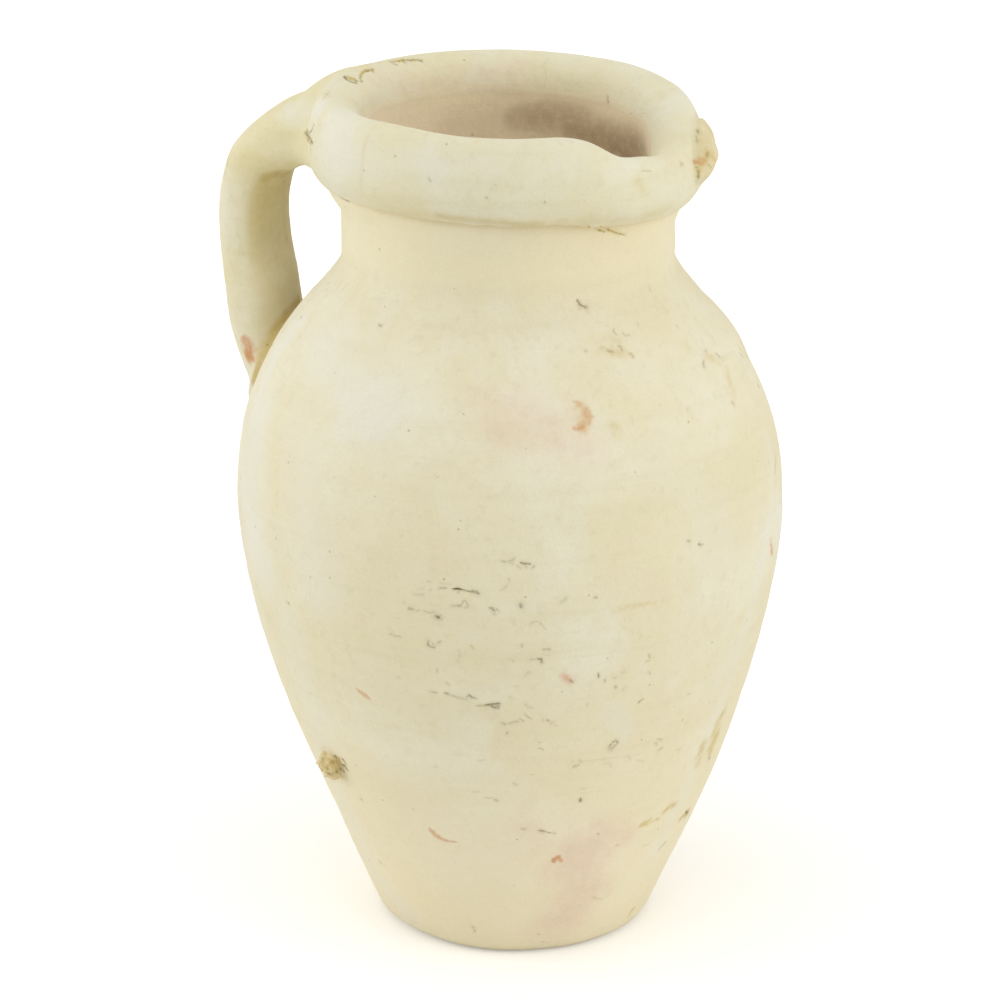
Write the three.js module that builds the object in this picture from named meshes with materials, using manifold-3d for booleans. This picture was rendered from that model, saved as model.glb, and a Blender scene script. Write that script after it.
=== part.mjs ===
// An unglazed clay jug: a body thrown in three sections, a collar of clay folded over the neck's lip,
// a strap handle pressed on over two pads, the torn stubs of a lost second handle and a stray crumb.
// Millimetres, +Z up. The origin is the centre of the foot. The handle points to -X.

import * as THREE from "three";
import { mergeVertices } from "three/addons/utils/BufferGeometryUtils.js";
import Module from "manifold-3d";

const wasm = await Module();
wasm.setup();

// Whole jug
const rimHeight = 240.6; // the crest's mean height, before it settled
const wallThickness = 6.5;
const luteGap = 0.3; // room between two pieces of clay that are pressed together
const weldReach = 0.00001; // points closer than this are one point

// Lower wall, thrown with its floor
const footRadius = 38.5;
const footRounding = 3.6;
const floorThickness = 9;
const floorFillet = 9;
const bellyRadius = 76.6;
const bellyHeight = 124;
const lowerFlareShare = 0.3; // how far out and up the wall's first pull goes
const lowerRiseShare = 0.218;
const lowerBellyShare = 0.306; // how far below the belly its upright pull starts

// Upper wall, from the belly joint to the foot of the neck
const neckRadius = 46;
const neckLength = 44.6; // from the foot of the neck to the rim's crest
const shoulderPullShare = 0.667; // pulls of the shoulder's curve, as shares of its rise
const throatPullShare = 0.135;

// Neck
const lipDrop = 10.6; // from the rim's crest down to the lip that the collar is folded over

// Rim collar
const collarLength = 27.4; // from the crest down to the lower edge
const collarSkirt = 3.2; // thickness at the collar's lower edge
const collarBulgeReach = 8.6; // from the neck out to the widest place
const skirtOutShare = 0.85; // pull of the curve from the lower edge out to the bulge
const skirtUpShare = 0.4;
const collarBulgeDrop = 15.6; // from the crest down to the widest place
const crestReach = 2; // from the neck out to the crest
const seamWander = 4; // how much the lower edge rises in front and falls behind
const seamHighAngle = -89;

// Strap handle
const handleThickness = 14.8;
const handleWidth = 27;
const fingerRoom = 25.8; // between the neck and the inside of the strap
const handleRootDrop = 15.1; // from the rim's crest down to the middle of the strap's upper end
const handleRootDepth = 20.5; // height of the strap where it leaves the collar
const handleRootWidth = 33;
const handleGripDrop = 42.6; // from the rim's crest down to the upright stretch
const handleTailShare = 0.208; // how far up the shoulder the strap ends
const strapBluntness = 0.65; // 1 is an oval section, less is squarer

// Pads of clay under the handle's two ends
const rimPadAngle = 174;
const rimPadDrop = 6.4; // from the crest down to the pad's middle
const rimPadRise = 7.2;
const rimPadReach = 9.6;
const rimPadSpread = 19;
const shoulderPadShare = 0.417; // how far up the shoulder the pad sits
const shoulderPadRiseShare = 0.098; // half its height is this share of the shoulder's rise and more
const shoulderPadMargin = 9;
const shoulderPadReach = 4.6;
const shoulderPadSpread = 18;

// Stubs of the lost handle, and the crumb on the lower wall
const stubAngle = 20;
const rimStubDrop = 12.1; // from the crest down to the stub's middle
const rimStubRise = 9.2;
const rimStubReach = 3.3;
const rimStubSpread = 15;
const shoulderStubShare = 0.715; // how far up the shoulder the stub sits
const shoulderStubRise = 8;
const shoulderStubReach = 2.4;
const shoulderStubSpread = 13;
const crumbAngle = -120;
const crumbShare = 0.468; // how far up the lower wall the crumb sits
const crumbSize = 8.6;
const crumbReach = 3.6;

// How the soft clay settled: the top leans to the handle, the rim tilts, and it dips where it pours
const topLean = 2.2;
const leanRiseShare = 0.75;
const rimTilt = 0.9;
const rimTiltAngle = 150;
const dipDepth = 11;
const dipAngle = 0;
const dipHalfAngle = 50;
const settleDepth = 34.6; // from the crest down to where nothing tilts or dips

// Facets
const aroundSteps = 64;
const wallSteps = 10;
const roundSteps = 4;
const strapSides = 16;
const strapSteps = 20;
const lumpSides = 18;
const lumpSteps = 10;

const clay = { color: 0xded6b8, roughness: 0.95, metalness: 0 };
const paleClay = { color: 0xe3dec8, roughness: 0.95, metalness: 0 };
const ochreClay = { color: 0xcdb887, roughness: 0.97, metalness: 0 };

const point = (radius, height) => new THREE.Vector2(radius, height);
const between = (start, end, share) => start + (end - start) * share;
const turn = (degrees) => THREE.MathUtils.degToRad(degrees);

// Places that follow from the rim's, the belly's and the neck's

const neckFootHeight = rimHeight - neckLength;
const lipHeight = rimHeight - lipDrop;
const rimCrestRadius = neckRadius + crestReach;
const collarBulge = neckRadius + collarBulgeReach;
const collarSeamHeight = rimHeight - collarLength;
const collarBulgeHeight = rimHeight - collarBulgeDrop;
const handleRootHeight = rimHeight - handleRootDrop;
const handleGripHeight = rimHeight - handleGripDrop;
const settleFootHeight = rimHeight - settleDepth;
const onShoulder = (share) => between(bellyHeight, neckFootHeight, share);
const handleTailHeight = onShoulder(handleTailShare);

// Outer curves of the body, drawn upward as radius and height

const lowerCurve = new THREE.CubicBezierCurve(
  point(footRadius, 0),
  point(between(footRadius, bellyRadius, lowerFlareShare), bellyHeight * lowerRiseShare),
  point(bellyRadius, bellyHeight * (1 - lowerBellyShare)),
  point(bellyRadius, bellyHeight),
);

const upperCurve = new THREE.CubicBezierCurve(
  point(bellyRadius, bellyHeight),
  point(bellyRadius, between(bellyHeight, neckFootHeight, shoulderPullShare)),
  point(neckRadius, between(neckFootHeight, bellyHeight, throatPullShare)),
  point(neckRadius, neckFootHeight),
);

// Points along a stretch of a curve, moved off it by an offset: a positive one goes into the wall
function alongCurve(curve, steps, from = 0, to = 1, offset = 0) {
  const points = [];
  for (let i = 0; i <= steps; i += 1) {
    const share = between(from, to, i / steps);
    const at = curve.getPoint(share);
    const heading = curve.getTangent(share);
    points.push(point(at.x - heading.y * offset, at.y + heading.x * offset));
  }
  return points;
}

// The share of a rising curve at which it passes a height
function shareAt(curve, height) {
  let low = 0;
  let high = 1;
  for (let i = 0; i < 40; i += 1) {
    const middle = (low + high) / 2;
    if (curve.getPoint(middle).y < height) low = middle;
    else high = middle;
  }
  return (low + high) / 2;
}

// Radius of the body's outside at a height, and the direction in which it faces there
function wallAt(height) {
  if (height >= neckFootHeight) return { radius: neckRadius, facing: 0 };
  const curve = height < bellyHeight ? lowerCurve : upperCurve;
  const share = shareAt(curve, height);
  const heading = curve.getTangent(share);
  return { radius: curve.getPoint(share).x, facing: Math.atan2(-heading.x, heading.y) };
}

// Solids

function revolve(outline) {
  const geometry = new THREE.LatheGeometry(outline, aroundSteps);
  geometry.rotateX(Math.PI / 2);
  return geometry;
}

function toSolid(geometry) {
  const bare = geometry.clone();
  bare.deleteAttribute("normal");
  bare.deleteAttribute("uv");
  const welded = mergeVertices(bare, weldReach);
  const index = Array.from(welded.index.array);
  const corners = [];
  for (let i = 0; i < index.length; i += 3) {
    const [a, b, c] = index.slice(i, i + 3);
    if (a !== b && b !== c && c !== a) corners.push(a, b, c);
  }
  return new wasm.Manifold(
    new wasm.Mesh({
      numProp: 3,
      vertProperties: new Float32Array(welded.attributes.position.array),
      triVerts: new Uint32Array(corners),
    }),
  );
}

function toGeometry(solid) {
  const mesh = solid.getMesh();
  const geometry = new THREE.BufferGeometry();
  geometry.setAttribute("position", new THREE.BufferAttribute(new Float32Array(mesh.vertProperties), 3));
  geometry.setIndex(new THREE.BufferAttribute(new Uint32Array(mesh.triVerts), 1));
  return geometry;
}

// Settling, the same for every piece, so that what fits stays fitted

const easeIn = (share) => THREE.MathUtils.smoothstep(share, 0, 1);

function settle(geometry) {
  const place = geometry.attributes.position;
  for (let i = 0; i < place.count; i += 1) {
    const [x, y, z] = [place.getX(i), place.getY(i), place.getZ(i)];
    const angle = Math.atan2(y, x);
    const offDip = Math.acos(Math.cos(angle - turn(dipAngle))) / turn(dipHalfAngle);
    const dip = dipDepth * Math.cos((Math.min(offDip, 1) * Math.PI) / 2) ** 2;
    const tilt = rimTilt * Math.cos(angle - turn(rimTiltAngle));
    const upward = easeIn((z - settleFootHeight) / (rimHeight - settleFootHeight));
    place.setX(i, x - topLean * easeIn(z / (rimHeight * leanRiseShare)));
    place.setZ(i, z + (tilt - dip) * upward);
  }
  return geometry;
}

// The collar's lower edge wanders up in front and down behind
function wanderSeam(geometry) {
  const place = geometry.attributes.position;
  for (let i = 0; i < place.count; i += 1) {
    const [x, y, z] = [place.getX(i), place.getY(i), place.getZ(i)];
    const low = 1 - easeIn((z - collarSeamHeight) / (collarBulgeHeight - collarSeamHeight));
    const angle = Math.atan2(y, x) - turn(seamHighAngle);
    place.setZ(i, z + seamWander * low * Math.cos(angle));
  }
  return geometry;
}

// Body sections

function lowerWallOutline() {
  const footTurn = new THREE.QuadraticBezierCurve(
    point(footRadius - footRounding, 0),
    point(footRadius, 0),
    lowerCurve.getPoint(shareAt(lowerCurve, footRounding)),
  );
  const insideFloor = floorThickness + floorFillet;
  const outside = alongCurve(lowerCurve, wallSteps, shareAt(lowerCurve, footRounding), 1).slice(1, -1);
  const inside = alongCurve(lowerCurve, wallSteps, 1, shareAt(lowerCurve, insideFloor), wallThickness);
  const filletTop = inside[inside.length - 1];
  const filletCorner = point(filletTop.x - floorFillet / 2, floorThickness);
  const filletEnd = point(filletTop.x - 2 * floorFillet, floorThickness);
  const floorTurn = new THREE.QuadraticBezierCurve(filletTop, filletCorner, filletEnd);
  return [
    point(0, 0),
    ...footTurn.getPoints(roundSteps),
    ...outside,
    point(bellyRadius, bellyHeight),
    point(bellyRadius - wallThickness, bellyHeight),
    ...inside.slice(1),
    ...floorTurn.getPoints(roundSteps).slice(1),
    point(0, floorThickness),
  ];
}

function upperWallOutline() {
  const outside = alongCurve(upperCurve, wallSteps).slice(1, -1);
  const inside = alongCurve(upperCurve, wallSteps, 1, 0, wallThickness).slice(1, -1);
  const start = point(bellyRadius, bellyHeight);
  return [
    start,
    ...outside,
    point(neckRadius, neckFootHeight),
    point(neckRadius - wallThickness, neckFootHeight),
    ...inside,
    point(bellyRadius - wallThickness, bellyHeight),
    start,
  ];
}

function neckOutline() {
  const inner = neckRadius - wallThickness;
  const start = point(neckRadius, neckFootHeight);
  const middle = (neckFootHeight + lipHeight) / 2;
  return [
    start,
    point(neckRadius, middle),
    point(neckRadius, lipHeight),
    point(inner, lipHeight),
    point(inner, middle),
    point(inner, neckFootHeight),
    start,
  ];
}

// The collar's outside, from its lower edge over the bulge to the crest, moved outward by an offset
function collarOutside(offset) {
  const edge = point(neckRadius + luteGap + collarSkirt + offset, collarSeamHeight - offset);
  const bulge = point(collarBulge + offset, collarBulgeHeight);
  const crest = point(rimCrestRadius, rimHeight + offset);
  const rise = rimHeight - collarBulgeHeight;
  const skirtPull = point(
    between(edge.x, bulge.x, skirtOutShare),
    between(edge.y, bulge.y, skirtUpShare),
  );
  const skirt = new THREE.QuadraticBezierCurve(edge, skirtPull, bulge);
  const shoulder = new THREE.CubicBezierCurve(
    bulge,
    point(bulge.x, collarBulgeHeight + rise / 2),
    point((bulge.x + rimCrestRadius) / 2 + collarSkirt / 2, crest.y),
    crest,
  );
  return [...skirt.getPoints(roundSteps), ...shoulder.getPoints(wallSteps / 2).slice(1)];
}

function collarOutline() {
  const mouth = neckRadius - wallThickness;
  const ledge = lipHeight + luteGap;
  const crest = point(rimCrestRadius, rimHeight);
  const flare = new THREE.CubicBezierCurve(
    crest,
    point((crest.x + mouth) / 2 + luteGap, crest.y),
    point(mouth + luteGap, (crest.y + ledge) / 2),
    point(mouth, ledge),
  );
  const start = point(neckRadius + luteGap, collarSeamHeight);
  return [
    start,
    ...collarOutside(0),
    ...flare.getPoints(roundSteps + 1).slice(1),
    point(neckRadius + luteGap, ledge),
    start,
  ];
}

// What the added pieces are trimmed by: the body and the collar, filled, and larger by the lute gap

function bodyTrimmer() {
  const above = rimHeight + luteGap;
  return toSolid(
    revolve([
      point(0, -luteGap),
      point(footRadius + luteGap, -luteGap),
      ...alongCurve(lowerCurve, wallSteps, 0, 1, -luteGap),
      ...alongCurve(upperCurve, wallSteps, 0, 1, -luteGap).slice(1),
      point(neckRadius + luteGap, above),
      point(0, above),
    ]),
  );
}

function collarTrimmer() {
  const outline = [
    point(0, collarSeamHeight - luteGap),
    ...collarOutside(luteGap),
    point(0, rimHeight + luteGap),
  ];
  return toSolid(wanderSeam(revolve(outline)));
}

// Handle: a strap swept along a line in the upright plane through the axis

// Stations in the upper arch: outward from the collar's bulge to the grip, down from the root to the
// grip, and the strap's own thickness and width
const archShares = [
  { outShare: 0.2, downShare: 0.02, thickShare: 1.39, wideShare: 1.12 },
  { outShare: 0.6, downShare: 0.2, thickShare: 1.12, wideShare: 1.04 },
  { outShare: 0.88, downShare: 0.44, thickShare: 1.04, wideShare: 1 },
  { outShare: 1, downShare: 0.84, thickShare: 1, wideShare: 0.98 },
];

// Stations of the upright stretch: outward as above, down from the grip to the tail
const gripShares = [
  { outShare: 1, downShare: 0.12, thickShare: 1, wideShare: 0.98 },
  { outShare: 0.94, downShare: 0.33, thickShare: 1.04, wideShare: 1 },
];

// Stations of the tail, which stand off the wall by shares of the thickness and then sink into it
const tailShares = [
  { standShare: 0.63, downShare: 0.54, thickShare: 1.06, wideShare: 1.04 },
  { standShare: 0.1, downShare: 0.73, thickShare: 1.02, wideShare: 1.02 },
  { standShare: -0.3, downShare: 0.88, thickShare: 0.76, wideShare: 0.96 },
  { standShare: -0.53, downShare: 1, thickShare: 0.6, wideShare: 0.88 },
];

function strapStations() {
  const grip = neckRadius + fingerRoom + handleThickness / 2;
  const station = (radius, height, { thickShare, wideShare }) => ({
    radius,
    height,
    thickness: handleThickness * thickShare,
    width: handleWidth * wideShare,
  });
  const arch = archShares.map((shares) =>
    station(
      between(collarBulge, grip, shares.outShare),
      between(handleRootHeight, handleGripHeight, shares.downShare),
      shares,
    ),
  );
  const upright = gripShares.map((shares) =>
    station(
      between(collarBulge, grip, shares.outShare),
      between(handleGripHeight, handleTailHeight, shares.downShare),
      shares,
    ),
  );
  const tail = tailShares.map((shares) => {
    const height = between(handleGripHeight, handleTailHeight, shares.downShare);
    return station(wallAt(height).radius + handleThickness * shares.standShare, height, shares);
  });
  const root = {
    radius: rimCrestRadius,
    height: handleRootHeight,
    thickness: handleRootDepth,
    width: handleRootWidth,
  };
  return [root, ...arch, ...upright, ...tail];
}

// One ring of the strap: an oval with flattened sides
function strapRing(centre, heading, thickness, width) {
  const outward = new THREE.Vector3(-heading.z, 0, heading.x);
  const flattened = (value) => Math.sign(value) * Math.abs(value) ** strapBluntness;
  const ring = [];
  for (let i = 0; i < strapSides; i += 1) {
    const angle = (2 * Math.PI * i) / strapSides;
    const lift = (thickness / 2) * flattened(Math.cos(angle));
    const side = (width / 2) * flattened(Math.sin(angle));
    ring.push(centre.clone().addScaledVector(outward, lift).add(new THREE.Vector3(0, side, 0)));
  }
  return ring;
}

function strapGeometry() {
  const stations = strapStations();
  const line = new THREE.CatmullRomCurve3(
    stations.map(({ radius, height }) => new THREE.Vector3(-radius, 0, height)),
  );
  const sizes = new THREE.SplineCurve(
    stations.map(({ thickness, width }) => new THREE.Vector2(thickness, width)),
  );
  const positions = [];
  const faces = [];
  for (let step = 0; step <= strapSteps; step += 1) {
    const share = step / strapSteps;
    const size = sizes.getPoint(share);
    for (const at of strapRing(line.getPoint(share), line.getTangent(share), size.x, size.y)) {
      positions.push(at.x, at.y, at.z);
    }
  }
  for (let step = 0; step < strapSteps; step += 1) {
    for (let side = 0; side < strapSides; side += 1) {
      const a = step * strapSides + side;
      const b = step * strapSides + ((side + 1) % strapSides);
      faces.push(a, a + strapSides, b, b, a + strapSides, b + strapSides);
    }
  }
  const last = strapSteps * strapSides;
  for (let side = 1; side < strapSides - 1; side += 1) {
    faces.push(0, side, side + 1, last, last + side + 1, last + side);
  }
  const geometry = new THREE.BufferGeometry();
  geometry.setAttribute("position", new THREE.Float32BufferAttribute(positions, 3));
  geometry.setIndex(faces);
  return geometry;
}

// A rounded lump whose own X is its reach off the surface, Y its spread and Z its rise
function lump(reach, spread, rise, growth = 0) {
  const geometry = new THREE.SphereGeometry(1, lumpSides, lumpSteps);
  geometry.rotateX(Math.PI / 2);
  geometry.scale(reach + growth, spread + growth, rise + growth);
  return geometry;
}

// Puts a lump on a surface of a given radius and facing, at an angle round the jug
function seat(geometry, radius, facing, angle, height) {
  geometry.rotateY(-facing);
  geometry.translate(radius, 0, height);
  geometry.rotateZ(turn(angle));
  return toSolid(geometry);
}

const seatOnWall = (geometry, angle, height) => {
  const { radius, facing } = wallAt(height);
  return seat(geometry, radius, facing, angle, height);
};

// Assembly

const jug = new THREE.Group();

function addPiece(name, geometry, look) {
  settle(geometry);
  geometry.computeVertexNormals();
  const mesh = new THREE.Mesh(geometry, new THREE.MeshStandardMaterial(look));
  mesh.name = name;
  jug.add(mesh);
}

const body = bodyTrimmer();
const collar = collarTrimmer();

addPiece("lower_wall", revolve(lowerWallOutline()), clay);
addPiece("upper_wall", revolve(upperWallOutline()), clay);
addPiece("neck", revolve(neckOutline()), clay);
addPiece("rim_collar", wanderSeam(revolve(collarOutline())), paleClay);

// The pad under the upper end is smeared over the crest
const rimPadRadius = (rimCrestRadius + collarBulge) / 2;
const rimPadHeight = rimHeight - rimPadDrop;
const shoulderPadHeight = onShoulder(shoulderPadShare);
const shoulderPadRise = (neckFootHeight - bellyHeight) * shoulderPadRiseShare + shoulderPadMargin;
const rimPadShape = (growth) =>
  seat(lump(rimPadReach, rimPadSpread, rimPadRise, growth), rimPadRadius, 0, rimPadAngle, rimPadHeight);
const shoulderPadShape = (growth) =>
  seatOnWall(lump(shoulderPadReach, shoulderPadSpread, shoulderPadRise, growth), 180, shoulderPadHeight);

const strap = toSolid(strapGeometry())
  .subtract(body)
  .subtract(collar)
  .subtract(rimPadShape(luteGap))
  .subtract(shoulderPadShape(luteGap));
addPiece("handle", toGeometry(strap), clay);
addPiece("handle_rim_pad", toGeometry(rimPadShape(0).subtract(collar).subtract(body)), clay);
addPiece("handle_shoulder_pad", toGeometry(shoulderPadShape(0).subtract(body)), clay);

const rimTear = lump(rimStubReach, rimStubSpread, rimStubRise);
const rimStub = seat(rimTear, collarBulge, 0, stubAngle, rimHeight - rimStubDrop);
addPiece("rim_stub", toGeometry(rimStub.subtract(collar)), ochreClay);

const shoulderTear = lump(shoulderStubReach, shoulderStubSpread, shoulderStubRise);
const shoulderStub = seatOnWall(shoulderTear, stubAngle, onShoulder(shoulderStubShare));
addPiece("shoulder_stub", toGeometry(shoulderStub.subtract(body)), clay);

const crumbShape = lump(crumbReach, crumbSize / 2, crumbSize / 2);
const crumb = seatOnWall(crumbShape, crumbAngle, bellyHeight * crumbShare);
addPiece("wall_crumb", toGeometry(crumb.subtract(body)), ochreClay);

export default jug;
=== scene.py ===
"""Looks of an unglazed clay jug: thrown walls, a folded rim collar, a strap handle smoothed on over two
pads, the torn stubs of a lost second handle, a stray crumb, and the marks that firing left in the clay.

Shapes are worked out in millimetres, +Z up, with the handle at -X, and become metres in a mesh."""

from collections import namedtuple
from functools import reduce
from itertools import product
from math import cos, inf, pi, radians, sin

import bmesh
import bpy
import numpy as np
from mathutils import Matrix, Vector
from mathutils.bvhtree import BVHTree


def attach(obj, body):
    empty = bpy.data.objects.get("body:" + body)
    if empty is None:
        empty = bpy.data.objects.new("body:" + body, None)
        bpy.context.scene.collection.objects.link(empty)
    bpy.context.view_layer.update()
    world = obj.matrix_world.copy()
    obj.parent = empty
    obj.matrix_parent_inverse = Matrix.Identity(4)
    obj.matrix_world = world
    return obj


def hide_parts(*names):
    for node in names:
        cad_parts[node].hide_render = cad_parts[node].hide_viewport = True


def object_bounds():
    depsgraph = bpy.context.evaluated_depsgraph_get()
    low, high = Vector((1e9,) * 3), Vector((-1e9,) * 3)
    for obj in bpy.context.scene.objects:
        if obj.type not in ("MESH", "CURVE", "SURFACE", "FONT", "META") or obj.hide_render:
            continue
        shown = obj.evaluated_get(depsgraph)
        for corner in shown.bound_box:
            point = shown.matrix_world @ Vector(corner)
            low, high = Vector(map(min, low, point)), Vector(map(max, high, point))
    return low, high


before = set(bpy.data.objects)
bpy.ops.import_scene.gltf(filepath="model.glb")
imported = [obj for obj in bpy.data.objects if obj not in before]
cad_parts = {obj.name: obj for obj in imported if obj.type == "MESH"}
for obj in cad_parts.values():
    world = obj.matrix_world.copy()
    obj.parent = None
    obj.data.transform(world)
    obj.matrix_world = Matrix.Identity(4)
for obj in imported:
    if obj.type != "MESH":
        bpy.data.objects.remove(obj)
cad_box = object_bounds()

MILLIMETRE = 0.001

# Body, as radius and height. The pulls of a curve are places that it is drawn towards

RIM_HEIGHT = 240.6
WALL = 6.5
FOOT_RADIUS = 38.5
FOOT_ROUNDING = 3.6
FLOOR_THICKNESS = 9.0
FLOOR_FILLET = 9.0
BELLY_RADIUS = 76.6
BELLY_HEIGHT = 124.0
NECK_RADIUS = 46.0
NECK_FOOT_HEIGHT = 196.0
LIP_HEIGHT = 230.0
MOUTH_RADIUS = NECK_RADIUS - WALL
LOWER_PULLS = ((49.93, 27.03), (BELLY_RADIUS, 86.06))
UPPER_PULLS = ((BELLY_RADIUS, 172.02), (NECK_RADIUS, 186.28))

# Rim collar

SEAM_HEIGHT = 213.2
SKIRT = 3.2
BULGE_RADIUS = 54.6
BULGE_HEIGHT = 225.0
CREST_RADIUS = 48.0
SKIRT_PULL_SHARES = (0.85, 0.4)  # of the way from the lower edge to the bulge, across and up
CROWN_PULLS = (
    (BULGE_RADIUS, (BULGE_HEIGHT + RIM_HEIGHT) / 2),
    ((BULGE_RADIUS + CREST_RADIUS + SKIRT) / 2, RIM_HEIGHT),
)
FLARE_PULLS = (
    ((CREST_RADIUS + MOUTH_RADIUS) / 2, RIM_HEIGHT),
    (MOUTH_RADIUS, (RIM_HEIGHT + LIP_HEIGHT) / 2),
)
SEAM_WANDER = 4.0
SEAM_HIGH_ANGLE = -89.0
SEAM_OPEN_ANGLE = -44.0  # round here the lower edge stands off the neck, elsewhere it is smeared on
SEAM_OPEN_SPREAD = 50.0
SEAM_LIP = 1.0
SEAM_UNDERCUT = 2.2
SEAM_WAVE_SHARE = 0.75  # how far up to the bulge the edge's small waves run out
SMEAR_HEIGHT = 9.0
SMEAR_NOISE = (0.2, 9, 24)  # amount, size and seed
SEAM_NOISE = ((0.7, 14, 22), (0.4, 5, 23))

# How the soft clay settled

TOP_LEAN = 2.2
LEAN_RISE_SHARE = 0.75
RIM_TILT = 0.9
RIM_TILT_ANGLE = 150.0
DIP_DEPTH = 11.0
DIP_ANGLE = 0.0
DIP_HALF_ANGLE = 50.0
SETTLE_FOOT_HEIGHT = 206.0
SAGS = (  # angle, spread in degrees and depth of smaller dips in the rim
    (-27.0, 9.0, 2.2),
    (80.0, 40.0, 0.55),
    (46.0, 15.0, 1.4),
    (-103.0, 17.0, -0.9),
)

# Strap handle: radius, height, thickness and width at each station of its middle line

STRAP_STATIONS = (
    (48.0, 225.2, 20.0, 33.0),
    (59.5, 224.2, 19.6, 30.2),
    (69.2, 219.6, 17.6, 28.6),
    (76.1, 213.2, 16.4, 27.0),
    (79.1, 202.4, 16.0, 26.5),
    (79.1, 190.9, 16.0, 26.5),
    (77.3, 178.5, 16.6, 27.0),
    (75.5, 166.1, 15.8, 28.1),
    (71.9, 154.9, 14.9, 27.5),
    (68.8, 146.1, 11.0, 25.9),
    (66.6, 139.0, 8.7, 23.8),
)
STRAP_SQUARENESS = 2.45  # 2 is an oval section, more is squarer

# Added lumps of clay: angle, radius and height of the middle, facing, then reach, spread and rise

RIM_PAD = (174.0, 51.3, 232.8, 0.0, 8.8, 19.0, 7.0)
SHOULDER_PAD = (180.0, 71.2, 154.0, 20.0, 4.2, 17.0, 15.0)
RIM_STUB = (20.0, 53.2, 230.8, 0.0, 4.6, 14.0, 9.4)
SHOULDER_STUB = (20.0, 56.5, 172.2, 42.0, 6.2, 22.0, 15.0)
WALL_CRUMB = (-119.5, 62.2, 57.0, -26.0, 3.6, 4.2, 4.0)
STUB_BLUNTNESS = 1.45  # 2 is a rounded lump, less comes to a point
CRUMB_BLUNTNESS = 2.4
STUB_NOISE = ((0.5, 6.5, 41), (0.1, 2.1, 42))  # amounts, sizes and seeds
CRUMB_NOISE = ((0.75, 2.8, 43), (0.45, 1.2, 44))
TORN = {"rim_stub": 0.2, "wall_crumb": 1.0}  # how torn a piece's face looks
TORN_RISE = 1.8  # how far off the wall a torn face looks torn all over

# Opposite corners of the block of space that holds each added piece

HANDLE_BLOCK = ((-95, -26, 126), (-34, 26, 248))
RIM_PAD_BLOCK = ((-72, -32, 216), (-36, 36, 250))
SHOULDER_PAD_BLOCK = ((-90, -28, 128), (-52, 28, 182))
RIM_STUB_BLOCK = ((36, -8, 206), (68, 46, 250))
SHOULDER_STUB_BLOCK = ((34, -8, 150), (76, 50, 200))
CRUMB_BLOCK = ((-44, -66, 46), (-20, -44, 70))

# Fillets where added clay is smoothed on, and how pieces overlap

STRAP_FILLET = 10.0
STRAP_FOOT_FILLET = 1.2
STRAP_TOP_FILLET = 4.0
RIM_PAD_FILLET = 2.5
SHOULDER_PAD_FILLET = 2.6
STUB_FILLET = 3.4
SWELLING_FILLET = 2.0
CRUMB_FILLET = 0.5
TUCK = 0.06  # how far under its neighbour's skin a fillet runs out
SINK = 1.6  # how deep an added piece is set into its neighbour

# How finely the meshes are cut, and how far within the solid model's box points begin to be held back

WALL_COLUMNS = 400
COLLAR_COLUMNS = 560
WALL_STEP = 1.25
COLLAR_STEP = 0.6
HIDDEN_STEP = 6.0
LUMP_STEP = 0.55
TORN_STEP = 0.36
CRUMB_STEP = 0.24
CREASE_ANGLE = 50.0  # edges that bend more stay sharp
EASED = 0.6

# The photo's camera

PHOTO_SIZE = 1000.0
CAMERA_AZIMUTH = 25.0
CAMERA_PITCH = 19.5
CAMERA_DISTANCE = 1150.0
CAMERA_HEIGHT = 530.0
CAMERA_SIDESTEP = -4.0
FOCAL_PIXELS = 4320.0
SENSOR_WIDTH = 36.0
CAMERA_REACH = 30.0  # in metres
VIEW_ANGLE = CAMERA_AZIMUTH - 90  # the side of the jug that the photo shows

SEED = 7

# Voids that burnt-out chaff and grit left: how dark, then pixels across and down, and half width

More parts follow.
